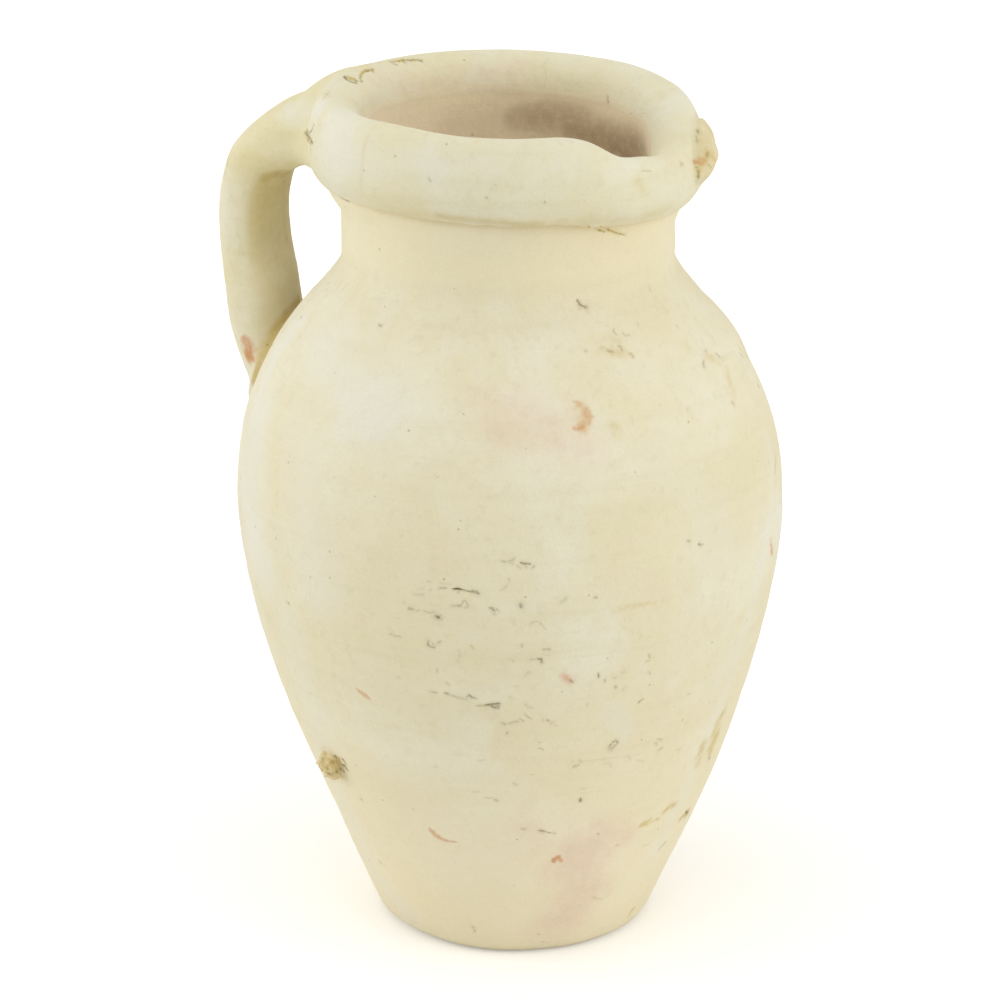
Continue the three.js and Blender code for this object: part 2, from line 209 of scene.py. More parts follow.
VOIDS = (
    (0.6, (453, 589.3, 0.8), (457, 589, 1.2), (462, 590, 1), (466, 591, 0.6), (470, 591.7, 0.7)),
    (0.65, (470, 591.7, 0.8), (473, 592, 1.3), (476, 592.8, 1.5), (478, 594, 1.1)),
    (0.4, (457.5, 592, 0.7), (459, 592, 0.7)),
    (0.35, (452, 606, 1.1), (455, 606, 1)),
    (0.45, (457, 605.7, 0.9), (460.5, 606, 1.1)),
    (
        0.35, (462, 604, 0.6), (463, 601, 0.6), (465.5, 600.5, 0.5), (467, 603, 0.7), (468, 607, 0.9),
        (465, 608, 0.7),
    ),
    (0.5, (409.5, 609, 1.1), (413, 609.7, 1.2)),
    (0.3, (417, 611, 1), (419, 610.5, 0.9)),
    (0.28, (423, 611, 0.7), (430, 613, 0.7), (434, 612.5, 1)),
    (1, (437, 617, 1.5), (438.5, 617.8, 1.3)),
    (0.3, (436, 614, 0.6), (441, 616.5, 1.1)),
    (0.65, (489.5, 608, 0.8), (492, 609, 1.1), (494.5, 611, 0.8)),
    (0.3, (496, 608.5, 0.7), (498.5, 611.5, 0.9)),
    (0.3, (493, 613.5, 0.9), (495, 614.5, 0.8)),
    (0.65, (520.5, 604.5, 1.6), (521, 606.5, 1.6)),
    (0.75, (521, 563, 0.8), (524, 563.7, 1), (530, 564.3, 0.7)),
    (0.35, (517, 566, 0.7), (521, 568.5, 0.6)),
    (0.25, (525, 567.5, 1.1), (527, 567.5, 1)),
    (0.35, (531.5, 568.5, 1), (534, 566, 0.8)),
    (0.45, (501.5, 561, 0.7), (504.5, 561.8, 0.8)),
    (0.38, (507, 561.7, 0.6), (512, 561, 0.9), (514.5, 558, 0.7)),
    (0.35, (510, 563.5, 0.7), (513, 564.2, 0.6)),
    (0.3, (508.5, 579, 0.8), (509, 581, 0.8)),
    (0.25, (501, 590, 0.9), (504, 588.5, 0.9), (507, 585.5, 0.6)),
    (0.22, (439, 589, 0.9), (443, 588, 1.3), (446, 587.5, 0.9)),
    (0.22, (418, 589, 0.7), (423, 589.3, 0.7)),
    (0.28, (414, 594.7, 0.8), (423, 595, 1.2)),
    (0.25, (428, 581.7, 0.8), (430, 582, 0.8)),
    (0.25, (430.5, 590, 0.9), (431.5, 590, 0.8)),
    (0.18, (440, 583.3, 0.7), (451, 584.3, 0.7)),
    (0.22, (403.5, 602.5, 1.1), (404.5, 603.5, 1)),
    (0.28, (531, 623.5, 1.1), (535, 622, 0.8), (539, 622.5, 0.8), (542, 626, 0.6), (546, 630, 0.4)),
    (0.28, (390, 634.3, 0.7), (396, 636.3, 1), (401, 637, 0.9)),
    (0.55, (428.5, 641, 0.7), (428, 645, 0.9), (431, 647, 0.8), (434, 648, 0.9)),
    (0.35, (435.5, 645.5, 0.6), (432, 643.5, 0.6)),
    (0.4, (438, 642.8, 0.8), (440.5, 641.7, 0.7)),
    (0.45, (543, 649.7, 0.7), (546, 649.3, 0.8), (550, 649.5, 0.8)),
    (0.18, (543, 655, 0.5), (549, 655, 0.5)),
    (0.8, (538, 659, 0.9), (541, 659.3, 0.9), (541.5, 662.5, 0.9)),
    (0.28, (530.5, 659.7, 1.3), (535.5, 659.5, 1)),
    (0.4, (522, 645, 0.8), (521.5, 646.7, 0.9)),
    (0.25, (510.5, 659.5, 1), (513, 661.5, 0.9)),
    (0.25, (456, 660.5, 1), (458.5, 661, 0.8)),
    (0.2, (459, 650, 0.6), (460, 658, 0.6)),
    (0.28, (473.5, 649, 0.9), (471, 646, 0.6)),
    (0.35, (437, 672, 0.7), (437.3, 668.5, 0.5)),
    (0.2, (398, 677, 1), (399, 678, 0.9)),
    (0.38, (432, 692, 1), (436, 692.7, 0.9)),
    (0.7, (445, 693.2, 0.8), (447.5, 694.3, 1)),
    (0.3, (449, 695, 0.6), (457, 697.3, 1), (466, 699.5, 1.2)),
    (0.65, (466.5, 697, 0.6), (469, 695.5, 1), (472, 697.5, 1), (475.5, 698.7, 0.8)),
    (0.38, (477, 706, 0.8), (484, 705.7, 0.9)),
    (0.85, (485, 705.5, 0.7), (490, 705, 1.1), (494, 704.5, 1.3), (499, 704, 1)),
    (0.8, (491, 706.5, 0.8), (495, 708, 1.1), (498, 708.5, 0.9)),
    (0.7, (496.5, 706, 1.2), (499, 706.5, 0.7)),
    (0.45, (501.5, 723.3, 1.1), (505, 724.5, 0.9)),
    (0.38, (508, 724.3, 0.6), (514, 722, 0.9), (518, 721.7, 0.7)),
    (0.32, (518.5, 718.7, 0.6), (523, 720.8, 0.7)),
    (0.32, (524.5, 713.5, 0.6), (527, 716.7, 0.7), (532, 719.3, 0.4)),
    (0.45, (547, 720, 0.8), (548.5, 721.3, 0.8)),
    (0.22, (542.5, 718.5, 0.9), (543.5, 721.5, 0.9)),
    (0.22, (550, 724.5, 0.9), (552, 722, 0.7), (557, 727, 0.6)),
    (0.22, (525.5, 704.5, 0.9), (528, 707.5, 0.9), (532, 708.3, 0.9)),
    (0.42, (507.5, 732.5, 0.9), (506.5, 734, 0.8)),
    (0.18, (515, 686.5, 1.1), (517.5, 686.7, 1)),
    (0.2, (509.5, 697.3, 1), (511.5, 697.8, 0.9)),
    (0.2, (525, 675.5, 1.4), (528, 672.5, 1.6)),
    (0.65, (594, 598, 0.7), (596.3, 597.8, 0.8)),
    (0.25, (562, 602, 1.7), (565.5, 598.5, 1.6)),
    (0.45, (649, 654.5, 0.6), (649.5, 657.5, 0.8)),
    (0.28, (646, 662, 1), (649, 660.5, 1)),
    (0.32, (649.5, 672, 0.9), (650, 674, 0.8)),
    (0.65, (598.3, 673.5, 0.6), (598.6, 677.5, 0.7)),
    (0.38, (604.5, 680, 0.9), (604.8, 682, 0.8)),
    (0.42, (615.3, 686.5, 1), (615.6, 688.5, 1)),
    (0.25, (621.5, 672.5, 0.9), (624, 672.7, 0.8)),
    (0.25, (614, 678, 0.8), (616, 677.8, 0.7)),
    (0.18, (622, 690, 1.2), (625.5, 687.5, 1)),
    (0.5, (570, 680, 0.8), (572.3, 682.3, 0.9)),
    (0.5, (638.3, 703, 0.6), (641, 700.7, 0.9), (643.3, 699, 0.6)),
    (0.28, (687.5, 694, 0.6), (690, 694, 0.7)),
    (0.25, (587, 703.5, 0.7), (587.3, 706, 0.7)),
    (0.6, (723, 711.5, 0.6), (721.3, 715.5, 0.8)),
    (0.55, (609, 748, 1.3), (610.5, 745, 1), (612.5, 742.5, 1.1), (615.5, 741, 1.2)),
    (0.5, (615.5, 741, 1.1), (617.7, 742.7, 1), (614, 746.7, 1.1), (611, 750, 1.2), (609, 748, 1.2)),
    (0.3, (607.5, 748.5, 0.8), (613.5, 744.5, 0.7)),
    (0.35, (655.5, 743, 1.1), (656, 745, 1)),
    (0.35, (658, 739.3, 0.8), (661.5, 740, 0.8)),
    (0.32, (659, 750, 1.1), (662.5, 748, 0.9)),
    (0.4, (573.5, 767.3, 1.2), (577.5, 765, 1.1)),
    (0.28, (578.5, 760, 0.8), (581.5, 762.3, 0.9)),
    (0.15, (570, 762, 0.6), (590, 760.5, 0.7), (610, 758, 0.6), (640, 754, 0.5)),
    (0.22, (604, 764, 0.7), (609, 763.3, 0.8), (611, 767, 0.6)),
    (0.22, (627.5, 755.5, 0.8), (630, 759, 0.8)),
    (0.22, (637, 760.5, 0.6), (643.5, 762, 0.6)),
    (0.22, (676, 750, 0.7), (680, 750, 0.5)),
    (0.6, (709.3, 757, 1), (709.8, 759, 0.9)),
    (0.4, (710, 754.5, 0.6), (711.7, 750.5, 0.7)),
    (0.45, (539, 748.4, 0.7), (543, 749.6, 0.6)),
    (0.22, (479.5, 761, 1.2), (483.5, 760, 0.9)),
    (0.25, (435, 767, 1), (437, 767, 0.9)),
    (0.25, (513, 783.5, 1.1), (516, 785, 1)),
    (0.18, (474, 792, 1), (478, 792, 0.9)),
    (0.3, (484, 797.7, 0.5), (492, 798.3, 0.6)),
    (0.45, (495, 800, 0.9), (497, 801, 0.9)),
    (0.8, (580, 799, 0.9), (580.4, 801.5, 0.9)),
    (0.22, (580.5, 788.5, 0.8), (585.5, 788.3, 0.6)),
    (0.35, (522, 829, 1.2), (525, 829.5, 1.1)),
    (1, (540, 830.8, 1), (543.3, 831.5, 1.1)),
    (0.6, (544.5, 832, 0.6), (551.5, 833.2, 0.4)),
    (0.45, (553.5, 833, 0.8), (555, 833.5, 0.8)),
    (0.9, (686, 811.5, 1), (688, 813.5, 1.2)),
    (0.3, (680, 819, 0.9), (683, 816, 0.9)),
    (0.45, (658.5, 850.5, 0.7), (662, 846, 1.2), (666, 842, 0.8)),
    (0.22, (642, 846, 0.6), (648.5, 844.3, 0.5)),
    (0.35, (657.7, 819, 0.8), (658.3, 820, 0.7)),
    (0.25, (657.7, 828.5, 0.7), (658.3, 829.5, 0.6)),
    (0.5, (597.5, 833.8, 0.7), (598.7, 834.2, 0.6)),
    (0.3, (615.5, 845.5, 0.5), (618.5, 845.5, 0.5)),
    (0.35, (593.5, 897.7, 0.9), (595, 898.3, 0.6), (602, 898.8, 0.4)),
    (0.4, (472, 925.7, 0.6), (474, 928, 1), (475, 932, 0.8)),
    (0.35, (537.5, 934, 0.7), (539, 934.3, 0.6)),
    (0.25, (541, 942, 0.7), (548, 942.6, 0.5)),
    (
        0.75, (577, 300.3, 0.7), (579, 303.3, 1.2), (581.3, 305.5, 1), (583.5, 306.3, 0.8),
        (586, 307.2, 1.5),
    ),
    (0.22, (579, 309, 0.9), (581.5, 309.3, 0.8)),
    (0.38, (613.3, 329, 0.7), (614, 332, 0.8), (616.5, 334.3, 0.7)),
    (0.28, (622.5, 332.7, 0.9), (625, 335.7, 1), (629.5, 335, 0.7)),
    (0.28, (600, 348.3, 0.9), (603.5, 347, 0.9)),
    (0.42, (607, 350, 0.9), (611.7, 351.7, 1.3)),
    (0.5, (618, 346, 0.6), (620.5, 346.5, 0.9), (621.7, 350, 1)),
    (0.38, (628.5, 353.7, 0.6), (632, 354, 0.8), (633, 357, 0.7)),
    (0.4, (585, 351, 0.9), (586.3, 351.2, 0.9)),
    (0.3, (674.5, 324.5, 0.5), (678, 327, 1)),
    (0.22, (649.7, 288, 0.9), (650, 290, 0.9)),
    (0.22, (637.5, 323, 1), (638, 325.5, 1)),
    (0.6, (703.5, 361, 1), (704, 366.5, 1.4)),
    (0.45, (715.5, 353.3, 0.6), (719.7, 356.7, 1.1)),
    (0.5, (732, 401.5, 0.8), (733.7, 404, 0.9)),
    (0.25, (705, 351, 1), (707, 350.5, 0.9)),
    (0.2, (687.5, 408.5, 0.9), (688, 411, 0.9)),
    (0.25, (740, 349, 0.8), (744, 353, 0.7), (751, 363, 0.6)),
    (0.6, (688, 541, 1), (689.5, 541.7, 0.9)),
    (0.65, (699, 544, 0.9), (700.3, 545, 0.9)),
    (0.5, (379, 324.7, 1), (381.5, 326, 1)),
    (0.5, (288, 602.5, 0.9), (289, 604, 0.9)),
    (0.5, (380, 862, 1), (381, 863, 0.9)),
    (0.4, (361, 799, 0.9), (362, 800, 0.9)),
    (0.35, (428.5, 178.5, 0.7), (430.5, 181, 0.8)),
    (0.4, (486, 197.7, 0.8), (487, 198.5, 0.7)),
    (0.4, (544.5, 202, 0.7), (545.3, 203, 0.6)),
    (0.25, (495, 185, 0.6), (495.7, 186, 0.6)),
    (0.35, (642.5, 171, 0.6), (651, 171.3, 0.5)),
    (0.3, (681, 165.5, 1.3), (682.5, 163, 0.9)),
    (0.55, (607.5, 96, 0.6), (607.8, 103, 0.8)),
    (0.12, (548, 58, 0.5), (543.5, 66, 0.5), (546, 78, 0.4), (544, 88, 0.7)),
    (0.9, (305, 133, 0.9), (307, 135, 1.3), (309.3, 138, 1.7), (312.5, 143, 0.8)),
    (0.8, (308.5, 134.5, 0.9), (311.5, 131, 0.7), (313.7, 125, 0.7)),
    (0.3, (310, 145, 1.1), (311, 153, 0.8)),
    (0.3, (323, 99, 0.8), (326, 95.5, 0.7), (328, 93, 1)),
    (0.4, (354, 101.3, 0.9), (356, 104, 0.7)),
    (0.85, (344, 77, 0.9), (347, 79.7, 1.1), (350.5, 81.3, 1.2), (356.5, 83, 0.7)),
    (0.6, (344.7, 75.7, 0.6), (347.5, 75.7, 0.7)),
    (0.7, (360.7, 81.5, 0.9), (362.5, 80.3, 0.7)),
    (0.6, (364, 71.7, 0.7), (368, 70.2, 0.9), (372, 69.7, 1.1), (373.3, 72, 0.6)),
    (0.6, (390, 61, 0.7), (393, 63.2, 0.9), (397, 65, 0.6)),
    (0.55, (402, 60, 0.8), (405, 62.3, 0.9)),
    (0.55, (406, 59.5, 0.6), (413, 59.5, 0.9), (419, 60, 0.8), (422.5, 62, 0.6)),
    (0.4, (228.5, 157, 1), (227, 165, 0.9)),
    (0.35, (225, 173, 1), (224.5, 176, 0.8)),
    (0.45, (267.5, 345, 1), (273, 344.3, 1.1)),
    (0.6, (697.5, 130.5, 1.2), (698.3, 132.5, 1.2)),
    (0.35, (696, 136, 0.6), (697, 142, 0.5)),
    (0.6, (708, 152.5, 1.1), (707, 156, 1.3)),
    (0.75, (698.3, 171, 0.8), (698.7, 177.5, 1)),
    (0.45, (708, 164.5, 0.6), (711.5, 168, 0.5)),
    (0.5, (696, 167, 0.7), (697, 168, 0.6)),
    (0.8, (342.7, 759, 0.8), (344, 761.5, 1), (345.7, 764, 0.8)),
    (0.95, (342, 765, 1), (344.5, 766.3, 1.3), (347, 769.7, 0.9)),
    (0.7, (340.5, 769, 1), (341.5, 771, 0.9)),
    (0.75, (343, 771, 0.9), (344, 772.3, 0.8)),
    (0.7, (336.5, 771.5, 0.9), (338, 772.5, 0.8)),
    (0.6, (326.5, 768, 0.9), (328, 769.3, 0.8)),
    (0.7, (329, 773.5, 0.9), (330, 775, 0.8)),
    (0.5, (320.5, 762.5, 0.8), (323.5, 759, 1.1)),
    (0.7, (335.7, 756, 0.8), (336.7, 757, 0.7)),
    (0.55, (338.5, 758.5, 0.7), (341, 763, 0.8)),
)
VOID_DEPTH = 0.36
VOID_SOFTNESS = 0.75  # of its edge, as a share of its half width
DIRT_SPREAD = 1.25  # how much wider a void looks than its hole
HALO_SPREAD = 2.6
HALO_SOFTNESS = 1
HALO_STRENGTH = 0.3
FAINT_VOID = 0.27  # voids no darker than this aren't cut the third time
CUT_MARGINS = (1.1, 0.65, 0.35)  # how far round marks faces are cut the first, second and third time
RAGGED_NOISE = (0.14, 0.9, 31)  # moves a void's edge, and the next breaks up its darkness
BROKEN_NOISE = (0.5, 0.7, 39)

# Torn clay that stands up in small curls, on the crest by the handle and at the seam

TEARS = (
    ((345, 76.5, 2.2), (350, 79, 2.6), (357, 80.5, 2.0)),
    ((360, 79, 1.4), (361, 74, 1.5), (366, 70.5, 1.8), (373.5, 69.5, 1.5)),
    ((387, 59, 1.6), (394, 61.5, 2.4), (403, 60, 1.8), (410, 60, 1.6), (422, 60, 1.4)),
    ((307, 131, 2.0), (308, 137, 3.2), (312, 143, 1.8)),
    ((588, 226, 0.9), (596, 229, 1.3), (604, 232, 1.0)),
    ((600, 226, 0.8), (608, 229.5, 1.2), (616, 233, 0.9), (624, 235, 0.7)),
)
TEAR_DEPTH = 0.7
TEAR_SOFTNESS = 0.8
# How much darker a tear looks where its torn face lies low
TEAR_DARKENING = 0.7
TEAR_NOISE = ((1, 1.3, 34), (0.5, 0.6, 35))

# Soft stains of each kind, with painted shade in the brown and olive kinds and painted edge light in some
# pale ones: how strong, then pixels and half widths

STAINS = {
    # Lighter, bluer clay: the listed ones along the jug's sides and the handle's outer edge are painted edge
    # light as well as paler clay, the others are paler patches
    "pale": (
        (0.7, (256, 420, 36), (250, 490, 40), (260, 560, 36)),
        (0.5, (300, 430, 40), (310, 520, 44), (320, 590, 30)),
        (0.45, (284, 620, 30), (310, 700, 34), (340, 800, 32), (372, 865, 28), (408, 915, 24)),
        (0.5, (752, 600, 14), (722, 700, 16), (690, 780, 14), (655, 850, 12)),
        (0.65, (318, 340, 36), (340, 370, 48), (370, 410, 40)),
        (0.8, (300, 322, 16), (284, 342, 18), (268, 370, 14), (258, 400, 10)),
        (0.6, (335, 120, 22), (342, 165, 28), (380, 165, 26), (430, 165, 22)),
        (0.8, (290, 110, 14), (318, 110, 16)),
        (0.4, (226, 190, 6), (224, 250, 6), (230, 330, 6)),
        (0.5, (768, 440, 10), (772, 500, 10), (752, 600, 10)),
        (0.45, (735, 650, 26), (712, 695, 20)),
        (0.5, (612, 712, 16), (625, 735, 13)),
        (0.4, (655, 460, 30), (700, 500, 26), (730, 560, 24)),
        (0.3, (610, 372, 18), (650, 378, 20), (690, 385, 16)),
        (0.4, (655, 190, 12), (685, 190, 10)),
    ),
    "blush": (
        (0.8, (566, 677, 7), (570, 681, 7)),
        (0.8, (580, 855, 32), (590, 885, 34), (565, 915, 34)),
        (0.6, (600, 828, 20), (625, 836, 16)),
        (0.5, (500, 415, 34), (560, 425, 36), (580, 445, 26)),
        (0.4, (520, 830, 24), (540, 850, 24)),
        (0.25, (370, 90, 24), (400, 105, 30), (440, 124, 24), (480, 126, 20)),
        (0.35, (460, 706, 7), (490, 716, 6)),
        (0.4, (372, 80, 14), (400, 82, 18), (440, 80, 20), (480, 78, 20), (520, 74, 18)),
    ),
    # Painted shade: the dark deep in the mouth, and the crease where the strap's foot meets the shoulder
    "painted_brown_shade": (
        (
            0.34, (450, 124, 20), (480, 120, 26), (510, 117, 30), (540, 114, 34), (570, 114, 36),
            (600, 122, 34),
        ),
        (0.72, (512, 119, 14), (530, 117, 17), (548, 118, 20), (568, 121, 22), (588, 127, 24)),
        (
            0.88, (566, 128, 15), (583, 132, 18), (600, 138, 21), (617, 146, 23), (631, 150, 23),
            (641, 151, 22),
        ),
        (1, (611, 146, 13), (622, 151, 15), (632, 155, 15)),
        (0.75, (284, 322, 5), (277, 332, 6), (270, 344, 8), (263, 356, 8), (257, 368, 6)),
    ),
    "ochre": (
        (0.6, (582, 408, 8), (585, 418, 9), (582, 426, 7)),
        (0.5, (602, 350, 5), (612, 351, 7), (624, 353, 6), (633, 356, 4)),
        (0.35, (604, 340, 10), (618, 343, 12), (628, 350, 9)),
        (0.8, (718, 722, 8), (714, 738, 11), (710, 752, 9)),
        (0.75, (703, 744, 7), (700, 752, 8), (698, 764, 6)),
        (0.7, (725, 710, 6), (722, 716, 6)),
        (0.8, (664, 812, 3.4), (670, 807, 5), (676, 804, 3.4)),
        (0.95, (680, 819, 4), (687, 813, 6)),
        (0.75, (641, 825, 3.6), (648, 822.5, 4), (656, 820, 3)),
        (0.8, (629, 915, 2.6), (633, 909, 4)),
        (0.4, (640, 180, 9), (641, 188, 7)),
        (0.45, (708, 356, 9), (724, 362, 8), (733, 392, 7), (733, 404, 5)),
        (0.35, (683, 345, 6), (688, 349, 5)),
        (0.5, (612, 425, 6), (620, 434, 6)),
        (0.35, (706, 464, 5), (708, 470, 5)),
        (0.45, (323, 92, 5), (327, 97, 5)),
        (0.35, (366, 138, 3), (364, 150, 4), (362, 170, 4), (361, 186, 3)),
        (0.25, (540, 84, 30), (490, 84, 32), (440, 84, 30), (400, 96, 22)),
        (0.8, (697, 176, 3), (699, 169, 4.5), (708, 152, 6), (714, 158, 5)),
        (0.45, (700, 140, 6), (706, 146, 6)),
        (0.9, (326, 766, 8), (338, 765, 9)),
        (0.4, (328, 778, 4), (346, 777, 5)),
        (0.5, (612, 612, 3), (622, 609, 4), (640, 605, 3), (655, 603, 2.4)),
        (0.3, (470, 706, 5), (495, 710, 4)),
        (0.3, (452, 698, 3), (470, 702, 4)),
    ),
    # Painted shade: under the strap's top, along the crease at its foot, on its inner side, and under the
    # collar's lower edge and its torn curls
    "painted_olive_shade": (
        (0.85, (266, 178, 9), (276, 174, 11), (290, 172, 10), (302, 170, 7)),
        (0.9, (299, 300, 5), (288, 314, 6), (279, 328, 7), (270, 344, 9), (261, 359, 9), (254, 380, 6)),
        (0.6, (284, 180, 10), (284, 210, 11), (287, 240, 8)),
        (0.3, (376, 211, 7), (410, 213, 9), (440, 217, 9)),
        (0.52, (440, 216, 8), (470, 220, 9), (505, 223, 9), (540, 225, 8)),
        (0.3, (540, 225, 8), (590, 222, 9), (630, 220, 9), (665, 210, 8)),
        (0.4, (603, 229, 3), (617, 233, 3.4), (626, 234.5, 2.8)),
    ),
    "rust": (
        (0.52, (573, 401, 1.6), (579, 403, 2.6), (587, 409, 3), (591, 417, 3), (588, 424, 2.8)),
        (0.5, (581, 406, 6), (585, 413, 7), (585, 421, 6), (580, 427, 5)),
        (0.78, (574, 428.5, 2.4), (579, 429, 3), (584, 426.5, 2.4)),
        (0.4, (771, 538, 4), (772, 550, 5)),
        (0.9, (771.5, 545, 2), (772, 554, 2.4)),
        (0.6, (357, 689, 2.4), (362, 693, 3), (369, 698, 2.4)),
        (0.65, (430, 829, 2.4), (434, 834, 3.4), (440, 838, 3.4), (446, 840.5, 2.6), (456, 842, 1.4)),
        (0.5, (447, 683, 2), (449, 685, 2)),
        (0.95, (554, 860, 2.8), (558, 857.5, 3.6), (561, 860, 2.8)),
        (1, (246, 343, 6.5), (247.5, 350, 7.6), (249, 356, 6)),
        (1, (697, 162, 4), (701, 161, 5), (705, 160, 3)),
        (0.4, (681, 163, 2.5), (684, 165, 2)),
        (0.45, (338, 757, 2), (343, 760, 2)),
        (0.55, (562, 676, 4), (566, 678, 5), (570, 681, 4)),
    ),
}
STAIN_EDGES = {  # how soft an edge is, and how far it wanders, as shares of the half width
    "rust": (0.8, 0.3),
    "blush": (1, 0.3),
    "ochre": (1, 0.3),
    "painted_olive_shade": (1, 0.1),
    "pale": (1, 0.25),
}
FINE_STAIN = 1.2  # stains of a smaller half width have the faces round them cut too
WANDER_NOISE = ((1.7, 51), (0.7, 54))  # moves a stain's edge: sizes as shares of its half width, and seeds

# Painted shade on the strap's inner side, in the olive tone: how strong, and by facing, radius and height,
# where it begins and is full

INNER_FACE_STRENGTH = 0.52
INNER_FACE_FOOT_SHARE = 0.1
INNER_FACE_FACING = (0.28, 0.83)
INNER_FACE_RADII = (NECK_RADIUS + 6, NECK_RADIUS + 14)
INNER_FACE_HEIGHTS = (166, 196)

# Marks on the sides that the photo doesn't show: how many, from what angle off it, and how often each comes

UNSEEN_VOIDS = 150
UNSEEN_VOIDS_FROM = 78
VOID_HEIGHTS = (6, 205)
VOID_LENGTHS = {0.6: 0.34, 0.9: 0.24, 1.6: 0.2, 3.0: 0.14, 5.5: 0.08}
VOID_HALVES = (0.16, 0.3)
VOID_WIDENING = 0.05  # the most that a void's half width gains, as a share of its length
VOID_SLANT = 0.35
VOID_DARKNESSES = {0.25: 0.4, 0.4: 0.3, 0.65: 0.2, 0.9: 0.1}
HANDLE_FROM = 158  # the angle beyond which a mark may meet the handle
UNSEEN_STAINS = 36
UNSEEN_STAINS_FROM = 84
STAIN_HEIGHTS = (15, 200)
STAIN_KINDS = {"rust": 0.2, "blush": 0.2, "ochre": 0.35, "pale": 0.25}
STAIN_HALVES = {"rust": 1.0, "blush": 8.0, "ochre": 2.2, "pale": 9.0}
STAIN_SIZES = (0.6, 1.5)
STAIN_LENGTHS = (1, 3)
STAIN_SLANT = 0.8
STAIN_STRENGTHS = (0.3, 0.7)
MARK_SHARES = ((-0.5, 0.5), (-0.1, 1.0), (0.25, 0.8), (0.5, 0.6))  # of a mark's length, and of its half width
CLEAR_RADIUS = 150  # outside of every piece

# How closed in clay is, felt at steps out from it, each with its weight

RECESS_STEPS = ((1.5, 0.3), (4.0, 0.3), (9.0, 0.25), (18.0, 0.15))
# The inside walls get a paler, warmer tone: painted light that lifts the shade in the neck, with a warmer
# clay colour
INSIDE_HEIGHTS = (LIP_HEIGHT + 6, LIP_HEIGHT - 3)  # between these the inside's colour comes in

# How the surface departs from a true turned form, in millimetres outward

UNEVEN_NOISE = ((0.3, 46, 1), (0.16, 19, 2), (0.06, 6.5, 3))
RIDGE_NOISE = ((0.12, 6.0, 4), (0.05, 2.3, 5))
RIDGE_STRETCH = (0.035, 0.035, 1)
SWELLS = (  # angle, height, half widths round and up, and how far out
    (25.0, 130.0, 40.0, 30.0, 0.8),
    (25.0, 54.0, 24.0, 36.0, 1.1),
    (-155.0, 40.0, 30.0, 28.0, -1.0),
    (-155.0, 100.0, 34.0, 26.0, -0.3),
    (-155.0, 218.0, 16.0, 6.0, 0.7),
    (25.0, 215.0, 16.0, 7.0, -0.8),
    (25.0, 198.0, 16.0, 9.0, 0.5),
    (25.0, 176.0, 24.0, 12.0, -0.6),
    (-118.0, 2.0, 20.0, 6.0, -0.8),
    (-60.0, 150.0, 30.0, 22.0, -0.3),
    (150.0, 90.0, 34.0, 30.0, -0.5),
    (80.0, 60.0, 30.0, 24.0, 0.3),
)


def rise(value, low, high):
    """0 up to one value and 1 from the other on, smooth between. High may be the lower one"""
    share = np.clip((value - low) / (high - low), 0, 1)
    return share * share * (3 - 2 * share)


def between(start, end, share):
    return start + (end - start) * share


# Smooth noise on points, the same each run


def lattice(seed):
    random = np.random.RandomState(seed)
    arrows = random.normal(size=(256, 3))
    arrows /= np.linalg.norm(arrows, axis=1)[:, None]
    return random.permutation(256), arrows


def noise(points, size, seed):
    """Smooth values between about -1 and 1 that change over a length"""
    order, arrows = lattice(SEED + seed)
    scaled = points / size
    cell = np.floor(scaled).astype(int)
    part = scaled - cell
    fade = part**3 * (part * (part * 6 - 15) + 10)
    total = np.zeros(points.shape[:-1])
    for corner in product((0, 1), repeat=3):
        at = (cell + corner) & 255
        pick = order[(order[(order[at[..., 0]] + at[..., 1]) & 255] + at[..., 2]) & 255]
        weight = np.prod(np.where(corner, fade, 1 - fade), axis=-1)
        total += weight * np.einsum("...i,...i->...", arrows[pick], part - corner)
    return total * 1.6


def mixed_noise(points, *layers):
    """Noises put together, each given by its amount, size and seed"""
    return sum(amount * noise(points, size, seed) for amount, size, seed in layers)


def shift(points, amount, size, seed):
    """How far noise moves each point, in all three directions"""
    return amount * np.stack([noise(points, size, seed + k) for k in range(3)], axis=1)


def turn_from(angle, start):
    """How far round each angle is from one in degrees, between -pi and pi"""
    return np.angle(np.exp(1j * (angle - radians(start))))


# How the clay lies


def relief(points):
    """How far the surface stands out from its true form"""
    x, y, z = points.T
    total = mixed_noise(points, *UNEVEN_NOISE) + mixed_noise(points * RIDGE_STRETCH, *RIDGE_NOISE)
    for angle, height, wide, high, out in SWELLS:
        off = turn_from(np.arctan2(y, x), angle) * np.hypot(x, y) / wide
        total += out * np.exp(-(off**2) - ((z - height) / high) ** 2)
    return total


def settle(points):
    """The top leans to the handle, and the rim tilts and dips"""
    x, y, z = points.T
    angle = np.arctan2(y, x)
    off_dip = np.abs(turn_from(angle, DIP_ANGLE)) / radians(DIP_HALF_ANGLE)
    dip = DIP_DEPTH * np.cos(np.minimum(off_dip, 1) * pi / 2) ** 2
    for at, spread, depth in SAGS:
        dip = dip + depth * np.exp(-((turn_from(angle, at) / radians(spread)) ** 2))
    tilt = RIM_TILT * np.cos(angle - radians(RIM_TILT_ANGLE))
    lean = TOP_LEAN * rise(z, 0, RIM_HEIGHT * LEAN_RISE_SHARE)
    return np.stack([x - lean, y, z + (tilt - dip) * rise(z, SETTLE_FOOT_HEIGHT, RIM_HEIGHT)], axis=1)


def seam_rise(angle, height):
    """How far the collar's lower edge wanders up or down, less towards its bulge"""
    return SEAM_WANDER * rise(height, BULGE_HEIGHT, SEAM_HEIGHT) * np.cos(angle - radians(SEAM_HIGH_ANGLE))


def seam_open(angle):
    """1 where the collar's lower edge stands off the neck, 0 where it is smeared on"""
    return np.exp(-((turn_from(angle, SEAM_OPEN_ANGLE) / radians(SEAM_OPEN_SPREAD)) ** 4))


# Curves, as rows of radius and height


